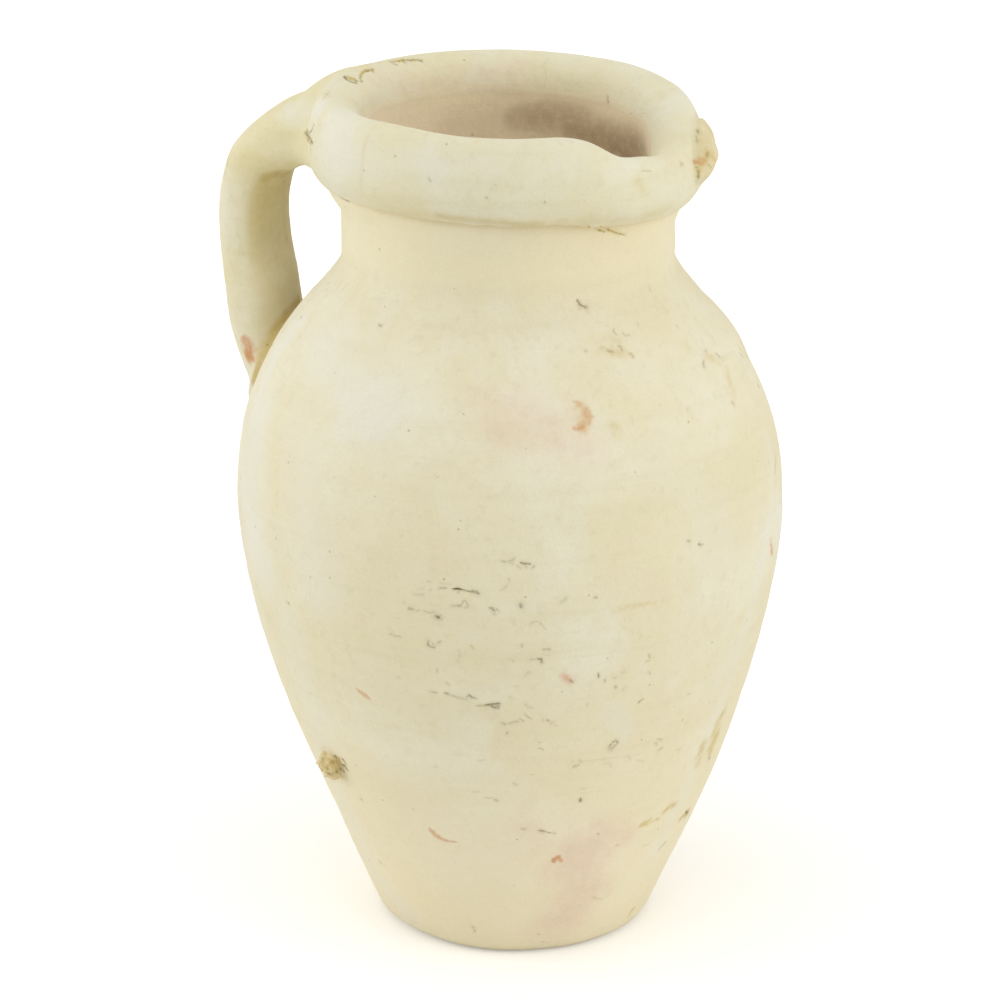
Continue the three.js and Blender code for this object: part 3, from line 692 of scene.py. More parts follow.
def curve(*points, steps=160):
    """A curve from the first point to the last, pulled towards those between"""
    rows = np.array(points, float)[:, None, :]
    share = np.linspace(0, 1, steps)[None, :, None]
    while len(rows) > 1:
        rows = rows[:-1] * (1 - share) + rows[1:] * share
    return rows[0]


def evenly(points, step):
    """The same line with points about a step apart"""
    along = np.concatenate([[0], np.cumsum(np.linalg.norm(np.diff(points, axis=0), axis=1))])
    count = max(2, int(round(along[-1] / step)) + 1)
    marks = np.linspace(0, along[-1], count)
    return np.stack([np.interp(marks, along, points[:, k]) for k in (0, 1)], axis=1)


def facing(points):
    """Directions to the right of a line's heading: outward, where it is drawn upward"""
    heading = np.gradient(points, axis=0)
    heading /= np.linalg.norm(heading, axis=1)[:, None]
    return np.stack([heading[:, 1], -heading[:, 0]], axis=1)


BELLY = (BELLY_RADIUS, BELLY_HEIGHT)
BULGE = (BULGE_RADIUS, BULGE_HEIGHT)
CREST = (CREST_RADIUS, RIM_HEIGHT)

lower_line = curve((FOOT_RADIUS, 0), *LOWER_PULLS, BELLY)
upper_line = curve(BELLY, *UPPER_PULLS, (NECK_RADIUS, NECK_FOOT_HEIGHT))
lower_inside = (lower_line - facing(lower_line) * WALL)[::-1]
upper_inside = (upper_line - facing(upper_line) * WALL)[::-1]
seam_edge = (NECK_RADIUS + SKIRT, SEAM_HEIGHT)
skirt_pull = [between(start, end, share) for start, end, share in zip(seam_edge, BULGE, SKIRT_PULL_SHARES)]
skirt_line = curve(seam_edge, skirt_pull, BULGE)
collar_line = np.concatenate([skirt_line, curve(BULGE, *CROWN_PULLS, CREST)[1:]])
flare_line = curve(CREST, *FLARE_PULLS, (MOUTH_RADIUS, LIP_HEIGHT))


# Turned pieces

# Points of a piece in millimetres, which way each faces where that is known, and the faces between them
Skin = namedtuple("Skin", "points outward faces")


def turned(runs, columns):
    """Turns a closed outline round the axis, given as lines of it, their steps, and 1 where relief shows"""
    lines, fronts = [], []
    for line, step, shown in runs:
        line = evenly(np.array(line, float), step)
        front = facing(line) * shown
        if lines and np.allclose(line[0], lines[-1][-1]):
            line, front = line[1:], front[1:]
        lines.append(line)
        fronts.append(front)
    line, front = np.concatenate(lines), np.concatenate(fronts)
    if np.allclose(line[0], line[-1]):
        line, front = line[:-1], front[:-1]
    angles = np.arange(columns) * 2 * pi / columns
    spokes = np.stack([np.cos(angles), np.sin(angles), np.ones(columns)], axis=1)
    points, outward, rings = [], [], []
    count = 0
    for (radius, height), (out, up) in zip(line, front):
        size = columns if radius > 1e-6 else 1
        points.append((spokes * (radius, radius, height))[:size])
        outward.append((spokes * (out, out, up))[:size])
        rings.append(count + np.arange(columns) % size)
        count += size
    faces = []
    for below, above in zip(rings, rings[1:] + rings[:1]):
        quads = np.stack([below, np.roll(below, -1), np.roll(above, -1), above], axis=1)
        corners = [list(dict.fromkeys(quad)) for quad in quads.tolist()]
        faces += [face for face in corners if len(face) > 2]
    return Skin(np.concatenate(points), np.concatenate(outward), faces)


def lower_wall():
    start = lower_line[np.searchsorted(lower_line[:, 1], FOOT_ROUNDING)]
    foot_turn = curve((FOOT_RADIUS - FOOT_ROUNDING, 0), (FOOT_RADIUS, 0), start)
    outside = np.concatenate([foot_turn, lower_line[lower_line[:, 1] > start[1]]])
    inside = lower_inside[lower_inside[:, 1] > FLOOR_THICKNESS + FLOOR_FILLET]
    fillet_top = inside[-1]
    fillet = curve(
        fillet_top,
        (fillet_top[0] - FLOOR_FILLET / 2, FLOOR_THICKNESS),
        (fillet_top[0] - 2 * FLOOR_FILLET, FLOOR_THICKNESS),
    )
    runs = [
        ([(0, 0), (FOOT_RADIUS - FOOT_ROUNDING, 0)], HIDDEN_STEP, 0),
        (outside, WALL_STEP, 1),
        (inside, HIDDEN_STEP, 0),
        (fillet, FLOOR_FILLET / 2, 0),
        ([fillet[-1], (0, FLOOR_THICKNESS)], HIDDEN_STEP, 0),
    ]
    return turned(runs, WALL_COLUMNS)


def upper_wall():
    return turned([(upper_line, WALL_STEP, 1), (upper_inside, HIDDEN_STEP / 2, 0)], WALL_COLUMNS)


def neck():
    """The neck, with clay smeared down on it from the collar's lower edge"""
    outside = [(NECK_RADIUS, NECK_FOOT_HEIGHT), (NECK_RADIUS, LIP_HEIGHT)]
    inside = [(MOUTH_RADIUS, LIP_HEIGHT), (MOUTH_RADIUS, NECK_FOOT_HEIGHT)]
    skin = turned([(outside, WALL_STEP, 1), (inside, WALL_STEP, 1)], WALL_COLUMNS)
    x, y, z = skin.points.T
    angle = np.arctan2(y, x)
    seam = SEAM_HEIGHT + seam_rise(angle, SEAM_HEIGHT)
    ragged = 1 - SMEAR_NOISE[0] + mixed_noise(skin.points, SMEAR_NOISE)
    below = rise(z, seam - SMEAR_HEIGHT * ragged, seam) * (z < seam + 1)
    smear = SKIRT * (1 - seam_open(angle)) * below * (np.hypot(x, y) > NECK_RADIUS - WALL / 2)
    return skin._replace(points=skin.points + skin.outward * smear[:, None])


def rim_collar():
    """The folded collar, whose lower edge wanders"""
    edge = collar_line[0]
    outside = collar_line[np.linalg.norm(collar_line - edge, axis=1) > SEAM_LIP]
    lip = curve((edge[0] - SEAM_LIP, edge[1]), edge, outside[0], steps=20)
    undercut = (NECK_RADIUS, SEAM_HEIGHT + SEAM_UNDERCUT)
    runs = [
        ([undercut, lip[0]], COLLAR_STEP, 0),
        (lip, COLLAR_STEP / 2, 1),
        (np.concatenate([outside, flare_line[1:]]), COLLAR_STEP, 1),
        ([(MOUTH_RADIUS, LIP_HEIGHT), (NECK_RADIUS, LIP_HEIGHT)], HIDDEN_STEP, 0),
        ([(NECK_RADIUS, LIP_HEIGHT), undercut], HIDDEN_STEP, 0),
    ]
    skin = turned(runs, COLLAR_COLUMNS)
    x, y, z = skin.points.T
    angle = np.arctan2(y, x)
    ring = np.stack([np.cos(angle), np.sin(angle), np.zeros_like(angle)], axis=1) * NECK_RADIUS
    low = rise(z, between(SEAM_HEIGHT, BULGE_HEIGHT, SEAM_WAVE_SHARE), SEAM_HEIGHT)
    wave = mixed_noise(ring, *SEAM_NOISE) * low * seam_open(angle)
    return skin._replace(points=np.stack([x, y, z + seam_rise(angle, z) + wave], axis=1))


# Added pieces, as skins of solid fields: a field is a distance at each place, negative inside the clay


def block(low, high, step):
    """Places in a block, as arrays of x, y and z that spread over each other"""
    return np.meshgrid(*(np.arange(a, b + step, step) for a, b in zip(low, high)), indexing="ij", sparse=True)


# A table of distances over radius and height: its step, lowest radius and height, and counts
TABLE_STEP = 0.5
TABLE_LOW = (0.0, -6.0)
TABLE_COUNT = (230, 520)


def outline_table(hollow):
    """Distance from the body's section over radius and height, negative in the clay or all through it"""
    outside = [[(0, 0)], lower_line[::4], upper_line[::4], [(NECK_RADIUS, SEAM_HEIGHT)], collar_line[::6]]
    inside = [flare_line[::6], upper_inside[::6], lower_inside[::6], [(0, FLOOR_THICKNESS)]]
    outline = np.concatenate(outside + (inside if hollow else [[(0, RIM_HEIGHT)]]))
    r = TABLE_LOW[0] + TABLE_STEP * np.arange(TABLE_COUNT[0])[:, None]
    z = TABLE_LOW[1] + TABLE_STEP * np.arange(TABLE_COUNT[1])[None, :]
    nearest = np.full(TABLE_COUNT, 1e9)
    crossings = np.zeros(TABLE_COUNT, int)
    for (r0, z0), (r1, z1) in zip(outline, np.roll(outline, -1, axis=0)):
        length2 = (r1 - r0) ** 2 + (z1 - z0) ** 2
        if length2 < 1e-12:
            continue
        share = np.clip(((r - r0) * (r1 - r0) + (z - z0) * (z1 - z0)) / length2, 0, 1)
        nearest = np.minimum(nearest, np.hypot(r - between(r0, r1, share), z - between(z0, z1, share)))
        if z0 != z1:
            passes = (z0 > z) != (z1 > z)
            crossings += passes & (r < r0 + (z - z0) * (r1 - r0) / (z1 - z0))
    return np.where(crossings % 2 == 1, -nearest, nearest)


hollow_table = outline_table(True)
filled_table = outline_table(False)


def body_field(places, table=hollow_table):
    """The distance from the turned walls, read from a table"""
    x, y, z = places
    height = z - seam_rise(np.arctan2(y, x), z) * (z > SEAM_HEIGHT - SEAM_WANDER)
    row = np.clip((np.hypot(x, y) + 0 * z - TABLE_LOW[0]) / TABLE_STEP, 0, TABLE_COUNT[0] - 1.001)
    column = np.clip((height - TABLE_LOW[1]) / TABLE_STEP, 0, TABLE_COUNT[1] - 1.001)
    i, j = row.astype(int), column.astype(int)
    near = between(table[i, j], table[i, j + 1], column - j)
    far = between(table[i + 1, j], table[i + 1, j + 1], column - j)
    return between(near, far, row - i)


def lump_field(places, lump, blunt=2):
    """A rounded lump that is seated on the wall at an angle round the jug"""
    angle, radius, height, tip, *halves = lump
    angle, tip = radians(angle), radians(tip)
    x, y, z = places
    across = x * cos(angle) + y * sin(angle) - radius
    side = y * cos(angle) - x * sin(angle)
    out = across * cos(tip) + (z - height) * sin(tip)
    up = (z - height) * cos(tip) - across * sin(tip)
    shares = [at / half for at, half in zip((out, side, up), halves)]
    size = sum(np.abs(share) ** blunt for share in shares) ** (1 / blunt)
    slope = np.sqrt(sum((share / half) ** 2 for share, half in zip(shares, halves))) / np.maximum(size, 1e-6)
    return (size - 1) / np.maximum(slope, 1 / max(halves))


def strap_line(steps=240):
    """Stations of the strap joined by a smooth line"""
    rows = np.array(STRAP_STATIONS)
    padded = np.concatenate([2 * rows[:1] - rows[1:2], rows, 2 * rows[-1:] - rows[-2:-1]])
    at = np.linspace(0, len(rows) - 1 - 1e-9, steps)
    i = at.astype(int)
    t = (at - i)[:, None]
    a, b, c, d = (padded[i + k] for k in range(4))
    return 0.5 * (2 * b + (c - a) * t + (2 * a - 5 * b + 4 * c - d) * t**2 + (3 * b - a - 3 * c + d) * t**3)


strap = strap_line()
strap_heading = np.gradient(strap[:, :2], axis=0)
strap_heading /= np.linalg.norm(strap_heading, axis=1)[:, None]


def nearest_station(radius, height):
    """Which point of the strap's line is nearest to each place"""
    near = np.empty(radius.size, int)
    for part in np.array_split(np.arange(radius.size), radius.size // 20000 + 1):
        out = radius.ravel()[part, None] - strap[:, 0]
        up = height.ravel()[part, None] - strap[:, 1]
        near[part] = (out**2 + up**2).argmin(axis=1)
    return near.reshape(radius.shape)


def strap_field(places):
    x, y, z = places
    radius, height = np.broadcast_arrays(-x, z)
    near = nearest_station(radius, height)
    out, up = radius - strap[near, 0], height - strap[near, 1]
    lift = out * strap_heading[near, 1] - up * strap_heading[near, 0]
    past = out * strap_heading[near, 0] + up * strap_heading[near, 1]
    half_thick, half_wide = strap[near, 2] / 2, strap[near, 3] / 2
    n = STRAP_SQUARENESS
    u, v = np.abs(lift) / half_thick, np.abs(y) / half_wide
    size = np.maximum((u**n + v**n) ** (1 / n), 1e-6)
    slope = np.hypot((u / size) ** (n - 1) / half_thick, (v / size) ** (n - 1) / half_wide)
    return np.maximum((size - 1) / np.maximum(slope, 1 / half_wide), np.abs(past) - 0.5)


def fused(first, second, reach):
    """Two fields as one piece of clay, with a fillet about as wide as the reach"""
    share = np.clip(0.5 + 0.5 * (second - first) / reach, 0, 1)
    return between(second, first, share) - reach * share * (1 - share)


def added(own, base, fillet, filled):
    """What shows of a piece that is smoothed on, and a little of it under its neighbour's skin"""
    whole = fused(own, base, fillet) + TUCK
    return np.maximum.reduce([whole, -(base + SINK), -(filled + SINK), own - fillet])


def skin_of(values, places):
    """A closed skin round the negative part of a block of values"""
    low = np.array([line.flat[0] for line in places])
    step = places[0].flat[1] - places[0].flat[0]
    shape = tuple(n - 1 for n in values.shape)
    total = np.zeros(shape + (3,))
    count = np.zeros(shape)
    crossed = []
    for axis in range(3):
        before = tuple(slice(None, -1) if k == axis else slice(None) for k in range(3))
        after = tuple(slice(1, None) if k == axis else slice(None) for k in range(3))
        start, end = values[before], values[after]
        # Edges between places that the skin crosses, and where on each edge
        at = np.argwhere((start < 0) != (end < 0))
        first, last = start[tuple(at.T)], end[tuple(at.T)]
        place = at.astype(float)
        place[:, axis] += first / (first - last)
        # The four cells round such an edge make a face, and the crossing draws their points to it
        a, b = [k for k in range(3) if k != axis]
        cells = []
        for da, db in ((-1, -1), (0, -1), (0, 0), (-1, 0)):
            cell = at.copy()
            cell[:, a] += da
            cell[:, b] += db
            np.add.at(total, tuple(cell.T), place)
            np.add.at(count, tuple(cell.T), 1)
            cells.append(cell)
        crossed.append((cells, (first < 0) != (axis == 1)))
    filled = count > 0
    number = np.full(shape, -1)
    number[filled] = np.arange(filled.sum())
    points = low + total[filled] / count[filled][:, None] * step
    faces = []
    for cells, forward in crossed:
        quads = np.stack([number[tuple(cell.T)] for cell in cells], axis=1)
        quads[~forward] = quads[~forward][:, ::-1]
        faces += quads.tolist()
    return Skin(points, None, faces)


def lump_on(corners, step, lump, fillet, blunt=2, torn=()):
    """The skin of a lump smoothed on over the outside of the body"""
    places = block(*corners, step)
    points = np.stack(np.broadcast_arrays(*places), axis=-1)
    own = lump_field(places, lump, blunt) + mixed_noise(points, *torn)
    return skin_of(added(own, body_field(places), fillet, body_field(places, filled_table)), places)


def handle():
    places = block(*HANDLE_BLOCK, LUMP_STEP)
    z = places[2]
    base = fused(body_field(places), lump_field(places, SHOULDER_PAD), SHOULDER_PAD_FILLET)
    base = fused(base, lump_field(places, RIM_PAD), RIM_PAD_FILLET)
    foot, bend, root = (STRAP_STATIONS[k][1] for k in (-2, 4, 0))
    fillet = between(STRAP_FOOT_FILLET, STRAP_FILLET, rise(z, foot, bend))
    fillet = between(fillet, STRAP_TOP_FILLET, rise(z, root - WALL, root + WALL))
    return skin_of(added(strap_field(places), base, fillet, body_field(places, filled_table)), places)


def handle_rim_pad():
    places = block(*RIM_PAD_BLOCK, LUMP_STEP)
    body = body_field(places)
    return skin_of(added(lump_field(places, RIM_PAD), body, RIM_PAD_FILLET, body), places)


def handle_shoulder_pad():
    return lump_on(SHOULDER_PAD_BLOCK, LUMP_STEP, SHOULDER_PAD, SHOULDER_PAD_FILLET)


def rim_stub():
    return lump_on(RIM_STUB_BLOCK, TORN_STEP, RIM_STUB, STUB_FILLET, STUB_BLUNTNESS, STUB_NOISE)


def shoulder_stub():
    return lump_on(SHOULDER_STUB_BLOCK, LUMP_STEP, SHOULDER_STUB, SWELLING_FILLET)


def wall_crumb():
    return lump_on(CRUMB_BLOCK, CRUMB_STEP, WALL_CRUMB, CRUMB_FILLET, CRUMB_BLUNTNESS, CRUMB_NOISE)


def jug_field(places):
    """The distance from the nearest piece of the jug"""
    lumps = RIM_PAD, SHOULDER_PAD, RIM_STUB, SHOULDER_STUB, WALL_CRUMB
    fields = [lump_field(places, lump) for lump in lumps]
    return np.minimum.reduce([body_field(places), strap_field(places), *fields])


def recess_of(points, fronts):
    """How closed in each place is, from 0 in the open to 1 in a tight corner"""
    total = np.zeros(len(points))
    for step, weight in RECESS_STEPS:
        clear = jug_field((points + fronts * step).T)
        total += weight * np.clip(1 - clear / step, 0, 1)
    return total


def facing_in(points, fronts):
    """1 where the clay faces the jug's axis, 0 where it faces away"""
    x, y, _ = points.T
    outward = (fronts[:, 0] * x + fronts[:, 1] * y) / np.maximum(np.hypot(x, y), 1e-6)
    return rise(outward, 0, -0.5)


def inside_of(points, fronts):
    """1 on the inside of the walls, 0 outside and on the rim's flare"""
    return facing_in(points, fronts) * rise(points[:, 2], *INSIDE_HEIGHTS)


# Meshes


def read(items, name):
    """Three numbers for each item of a mesh"""
    values = np.empty(len(items) * 3, np.float32)
    items.foreach_get(name, values)
    return values.reshape(-1, 3).astype(float)


def fronts_of(mesh):
    return read(mesh.vertex_normals, "vector")


def points_of(mesh):
    return read(mesh.vertices, "co") / MILLIMETRE


def store(mesh, name, values):
    attribute = mesh.attributes.new(name, "FLOAT", "POINT")
    attribute.data.foreach_set("value", values.astype(np.float32))


def move_points(mesh, points):
    """Moves a mesh's points, no further than the solid model's own box"""
    low, high = (np.array(corner) / MILLIMETRE for corner in cad_box)
    over, under = points - (high - EASED), (low + EASED) - points
    placed = np.where(over > 0, high - EASED * np.exp(-np.maximum(over, 0) / EASED), points)
    placed = np.where(under > 0, low + EASED * np.exp(-np.maximum(under, 0) / EASED), placed)
    placed[:, 2] = np.where(points[:, 2] < low[2] + EASED, np.maximum(points[:, 2], low[2]), placed[:, 2])
    mesh.vertices.foreach_set("co", (placed * MILLIMETRE).astype(np.float32).ravel())
    mesh.update()


def add_piece(name, skin):
    """The piece that stands for a node of the solid model"""
    mesh = bpy.data.meshes.new("clay_" + name)
    mesh.from_pydata((skin.points * MILLIMETRE).tolist(), [], skin.faces)
    mesh.update()
    fronts = fronts_of(mesh)
    is_turned = skin.outward is not None
    outward = skin.outward if is_turned else fronts
    # How closed in the clay is, which the material turns into painted shade in hollows and creases
    store(mesh, "recess_shade", recess_of(skin.points, outward))
    # Where the inside walls are, which get painted light in a warmer tone
    store(mesh, "inside", inside_of(skin.points, fronts) * is_turned)
    store(mesh, "torn", TORN.get(name, 0) * rise(body_field(skin.points.T), 0, TORN_RISE))
    move_points(mesh, settle(skin.points + outward * relief(skin.points)[:, None]))
    piece = bpy.data.objects.new("clay_" + name, mesh)
    bpy.context.scene.collection.objects.link(piece)
    return piece


PIECES = (  # name of the solid that each replaces, its skin, material slot and how often marks cut its faces
    ("lower_wall", lower_wall, "body_clay", 3),
    ("upper_wall", upper_wall, "body_clay", 3),
    ("neck", neck, "body_clay", 3),
    ("rim_collar", rim_collar, "rim_clay", 2),
    ("handle", handle, "handle_clay", 2),
    ("handle_rim_pad", handle_rim_pad, "handle_clay", 2),
    ("handle_shoulder_pad", handle_shoulder_pad, "handle_clay", 2),
    ("rim_stub", rim_stub, "torn_clay", 1),
    ("shoulder_stub", shoulder_stub, "body_clay", 2),
    ("wall_crumb", wall_crumb, "torn_clay", 1),
)

pieces = {name: add_piece(name, build()) for name, build, slot, _ in PIECES}


# Camera

azimuth, pitch = radians(CAMERA_AZIMUTH), radians(CAMERA_PITCH)
to_right = Vector((cos(azimuth), sin(azimuth), 0))
forward = Vector((-sin(azimuth) * cos(pitch), cos(azimuth) * cos(pitch), -sin(pitch)))
upward = to_right.cross(forward)
camera_place = Vector((CAMERA_DISTANCE * sin(azimuth), -CAMERA_DISTANCE * cos(azimuth), CAMERA_HEIGHT))
camera_place += to_right * CAMERA_SIDESTEP


def add_camera():
    data = bpy.data.cameras.new("camera")
    data.sensor_width = SENSOR_WIDTH
    data.lens = FOCAL_PIXELS / PHOTO_SIZE * SENSOR_WIDTH
    data.clip_end = CAMERA_REACH
    camera = bpy.data.objects.new("camera", data)
    camera.location = camera_place * MILLIMETRE
    camera.rotation_euler = (pi / 2 - pitch, 0, azimuth)
    bpy.context.scene.collection.objects.link(camera)
    bpy.context.scene.camera = camera


add_camera()


# Marks

bpy.context.view_layer.update()
depsgraph = bpy.context.evaluated_depsgraph_get()
trees = [BVHTree.FromObject(piece, depsgraph) for piece in pieces.values()]


def first_hit(start, direction):
    """How far off a line first meets the jug, and where, in millimetres"""
    hits = [tree.ray_cast(start * MILLIMETRE, direction) for tree in trees]
    place, _, _, far = min(hits, key=lambda hit: inf if hit[0] is None else hit[3])
    return None if place is None else (far / MILLIMETRE, np.array(place) / MILLIMETRE)


def chain_from_photo(pixels):
    """Points on the clay under pixels of the photo, each with its half width in millimetres"""
    chain = []
    for across, down, half in pixels:
        right, low = ((at - PHOTO_SIZE / 2) / FOCAL_PIXELS for at in (across, down))
        hit = first_hit(camera_place, (forward + to_right * right - upward * low).normalized())
        if hit:
            chain.append((hit[1], half * hit[0] / FOCAL_PIXELS))
    return chain


def chain_on_wall(angle, height, length, half, slant):
    """The same for a mark that lies about level on the wall, at an angle round the jug"""
    chain = []
    for share, width in MARK_SHARES:
        turn = radians(angle) + share * length / BELLY_RADIUS
        outward = Vector((cos(turn), sin(turn), 0))
        hit = first_hit(outward * CLEAR_RADIUS + Vector((0, 0, height + share * length * slant)), -outward)
        if hit:
            chain.append((hit[1], half * width))
    return chain


def widened(chain, times):
    return [(place, half * times) for place, half in chain]


def gap_to(points, start, end):
    """How far each point is from a line, and where along the line"""
    line = end - start
    share = np.clip((points - start) @ line / max(line @ line, 1e-9), 0, 1)
    return np.linalg.norm(points - start - share[:, None] * line, axis=1), share


def near_box(points, start, end, margin):
    low, high = np.minimum(start, end) - margin, np.maximum(start, end) + margin
    return np.flatnonzero(np.all((points > low) & (points < high), axis=1))


def depth_in(points, chain, softness):
    """How far each point lies in a mark: 1 in its middle, 0 beyond its edge"""
    best = np.zeros(len(points))
    for (a, wide_a), (b, wide_b) in zip(chain, chain[1:]):
        close = near_box(points, a, b, max(wide_a, wide_b) * (1 + softness))
        gap, share = gap_to(points[close], a, b)
        depth = rise(gap / between(wide_a, wide_b, share), 1 + softness, 1 - softness)
        best[close] = np.maximum(best[close], depth)
    return best


def stain_in(points, chain, softness, wander):
    """The same with an edge that wanders by some of the mark's own width"""
    half = float(np.mean([wide for _, wide in chain]))
    places = [place for place, _ in chain]
    close = near_box(points, np.min(places, axis=0), np.max(places, axis=0), 4 * half)
    moved = points[close]
    for share, seed in WANDER_NOISE:
        moved = moved + shift(points[close], wander * share * half, share * half, seed)
    shown = np.zeros(len(points))
    shown[close] = depth_in(moved, chain, softness)
    return shown


def shade_in(points, chain):
    """How dark each point is in a shade that has no edge and fades away from its line"""
    total = np.zeros(len(points))
    for place, half in chain:
        total += np.exp(-((np.linalg.norm(points - place, axis=1) / half) ** 2))
    return 1 - np.exp(-total)


def inner_face(points, fronts):
    """1 on the side of the strap that faces the neck, less towards its foot, where shade is painted"""
    inward = rise(fronts[:, 0], *INNER_FACE_FACING) * rise(-points[:, 0], *INNER_FACE_RADII)
    return inward * between(INNER_FACE_FOOT_SHARE, 1, rise(points[:, 2], *INNER_FACE_HEIGHTS))


def unseen(angle, beyond):
    """Whether an angle round the jug is further than another from the photo's side"""
    return abs((angle - VIEW_ANGLE + 180) % 360 - 180) > beyond


def unseen_voids():
    """Voids like the photo's on the sides that it doesn't show"""
    random = np.random.RandomState(SEED)
    chains = []
    while len(chains) < UNSEEN_VOIDS:
        angle = random.uniform(-180, 180)
        height = random.uniform(*VOID_HEIGHTS)
        length = random.choice(list(VOID_LENGTHS), p=list(VOID_LENGTHS.values()))
        half = random.uniform(*VOID_HALVES) + VOID_WIDENING * length * random.uniform(0, 1)
        slant = random.normal(0, VOID_SLANT)
        dark = random.choice(list(VOID_DARKNESSES), p=list(VOID_DARKNESSES.values()))
        on_handle = abs(angle) > HANDLE_FROM and length > 1
        if unseen(angle, UNSEEN_VOIDS_FROM) and not on_handle:
            chains.append((dark, chain_on_wall(angle, height, length, half, slant)))
    return chains


def unseen_stains():
    """Stains like the photo's on the sides that it doesn't show, by kind"""
    random = np.random.RandomState(SEED + 1)
    stains = {kind: [] for kind in STAINS}
    while sum(map(len, stains.values())) < UNSEEN_STAINS:
        angle = random.uniform(-180, 180)
        height = random.uniform(*STAIN_HEIGHTS)
        kind = random.choice(list(STAIN_KINDS), p=list(STAIN_KINDS.values()))
        wide = STAIN_HALVES[kind] * random.uniform(*STAIN_SIZES)
        slant = random.normal(0, STAIN_SLANT)
        strength = random.uniform(*STAIN_STRENGTHS)
        if unseen(angle, UNSEEN_STAINS_FROM):
            length = wide * random.uniform(*STAIN_LENGTHS)
            stains[kind].append((strength, chain_on_wall(angle, height, length, wide, slant)))
    return stains


void_chains = [(dark, chain_from_photo(pixels)) for dark, *pixels in VOIDS] + unseen_voids()
tear_chains = [(1, chain_from_photo(pixels)) for pixels in TEARS]
stain_chains = unseen_stains()
for kind, rows in STAINS.items():
    stain_chains[kind] += [(strength, chain_from_photo(pixels)) for strength, *pixels in rows]


def refine(mesh, chains, margin):
    """Cuts the faces round marks finer"""
    shape = bmesh.new()
    shape.from_mesh(mesh)
    centres = np.array([face.calc_center_median() for face in shape.faces]) / MILLIMETRE
    found = set()
    for chain in chains:
        for (a, wide_a), (b, wide_b) in zip(chain, chain[1:]):
            reach = max(wide_a, wide_b) + margin
            close = near_box(centres, a, b, reach)
            found.update(close[gap_to(centres[close], a, b)[0] < reach].tolist())
    shape.faces.ensure_lookup_table()
    edges = {edge for i in found for edge in shape.faces[i].edges}
    bmesh.ops.subdivide_edges(shape, edges=list(edges), cuts=1, use_grid_fill=True)
    shape.to_mesh(mesh)
    shape.free()
    mesh.update()


def mark(piece, cuts):
    """Presses voids and tears into a piece and stores where each kind of mark and each painted shade shows"""
    mesh = piece.data
    low, high = points_of(mesh).min(axis=0) - 3, points_of(mesh).max(axis=0) + 3

    def touching(marks):
        """The marks that this piece may carry"""
        return [
            (strength, chain)
            for strength, chain in marks
            if len(chain) > 1 and any(np.all(place > low) and np.all(place < high) for place, _ in chain)
        ]

    def strongest(marks, shown_in):
        """How strongly marks show at each point, where shown_in gives it for one mark of full strength"""
        shown = (strength * shown_in(chain) for strength, chain in marks)
        return reduce(np.maximum, shown, np.zeros(len(points)))

    voids, tears = touching(void_chains), touching(tear_chains)
    stains = {kind: touching(marks) for kind, marks in stain_chains.items()}
    lines = [chain for marks in stains.values() for _, chain in marks]
    fine = [chain for chain in lines if max(half for _, half in chain) < FINE_STAIN]
    for margin in CUT_MARGINS[:cuts]:
        last = margin == CUT_MARGINS[-1]
        clear = [chain for dark, chain in voids if dark > FAINT_VOID or not last]
        refine(mesh, clear + [chain for _, chain in tears] + ([] if last else fine), margin)
    points, fronts = points_of(mesh), fronts_of(mesh)

    ragged = points + shift(points, *RAGGED_NOISE)
    void = strongest(voids, lambda chain: depth_in(ragged, widened(chain, DIRT_SPREAD), VOID_SOFTNESS))
    halo = strongest(voids, lambda chain: depth_in(ragged, widened(chain, HALO_SPREAD), HALO_SOFTNESS))
    tear = strongest(tears, lambda chain: depth_in(ragged, chain, TEAR_SOFTNESS))
    void = np.clip(void * (0.95 + mixed_noise(points, BROKEN_NOISE)), 0, 1)
    rough = mixed_noise(points, *TEAR_NOISE)
    move_points(mesh, points + fronts * (TEAR_DEPTH * tear * rough - VOID_DEPTH * void)[:, None])
    # Darker where a tear's torn face lies low
    void = np.maximum(void, TEAR_DARKENING * tear * rise(rough, 0.1, -0.9))
    store(mesh, "void", np.maximum(void, HALO_STRENGTH * halo))

    # Painted shade in the mouth and the strap's foot crease, kept to clay that faces the axis
    painted_brown_shade = strongest(stains["painted_brown_shade"], lambda chain: shade_in(points, chain))
    shown = {"painted_brown_shade": painted_brown_shade * facing_in(points, fronts)}
    for kind, edges in STAIN_EDGES.items():
        shown[kind] = strongest(stains[kind], lambda chain: stain_in(points, chain, *edges))
    torn_face = rise(1.2 * tear + 0.8 * rough, 0.2, 1.2) * (tear > 0)
    shown["ochre"] = np.maximum(shown["ochre"], torn_face)
    # Painted shade on the strap's side that faces the neck
    shown["painted_olive_shade"] = np.maximum(shown["painted_olive_shade"], INNER_FACE_STRENGTH * inner_face(points, fronts))
    for kind, values in shown.items():
        store(mesh, kind, values)


def soften(piece):
    """Smooth shading, with creases kept at joint faces"""
    shape = bmesh.new()
    shape.from_mesh(piece.data)
    for face in shape.faces:
        face.smooth = True
    for edge in shape.edges:
        edge.smooth = len(edge.link_faces) == 2 and edge.calc_face_angle(0) < radians(CREASE_ANGLE)
    shape.to_mesh(piece.data)
    shape.free()


# Materials


def colour(red, green, blue):
    """A colour as the eye names it, from 0 to 255, as light amounts"""
    levels = np.array([red, green, blue]) / 255
    light = np.where(levels <= 0.04045, levels / 12.92, ((levels + 0.055) / 1.055) ** 2.4)
    return (*light.tolist(), 1.0)


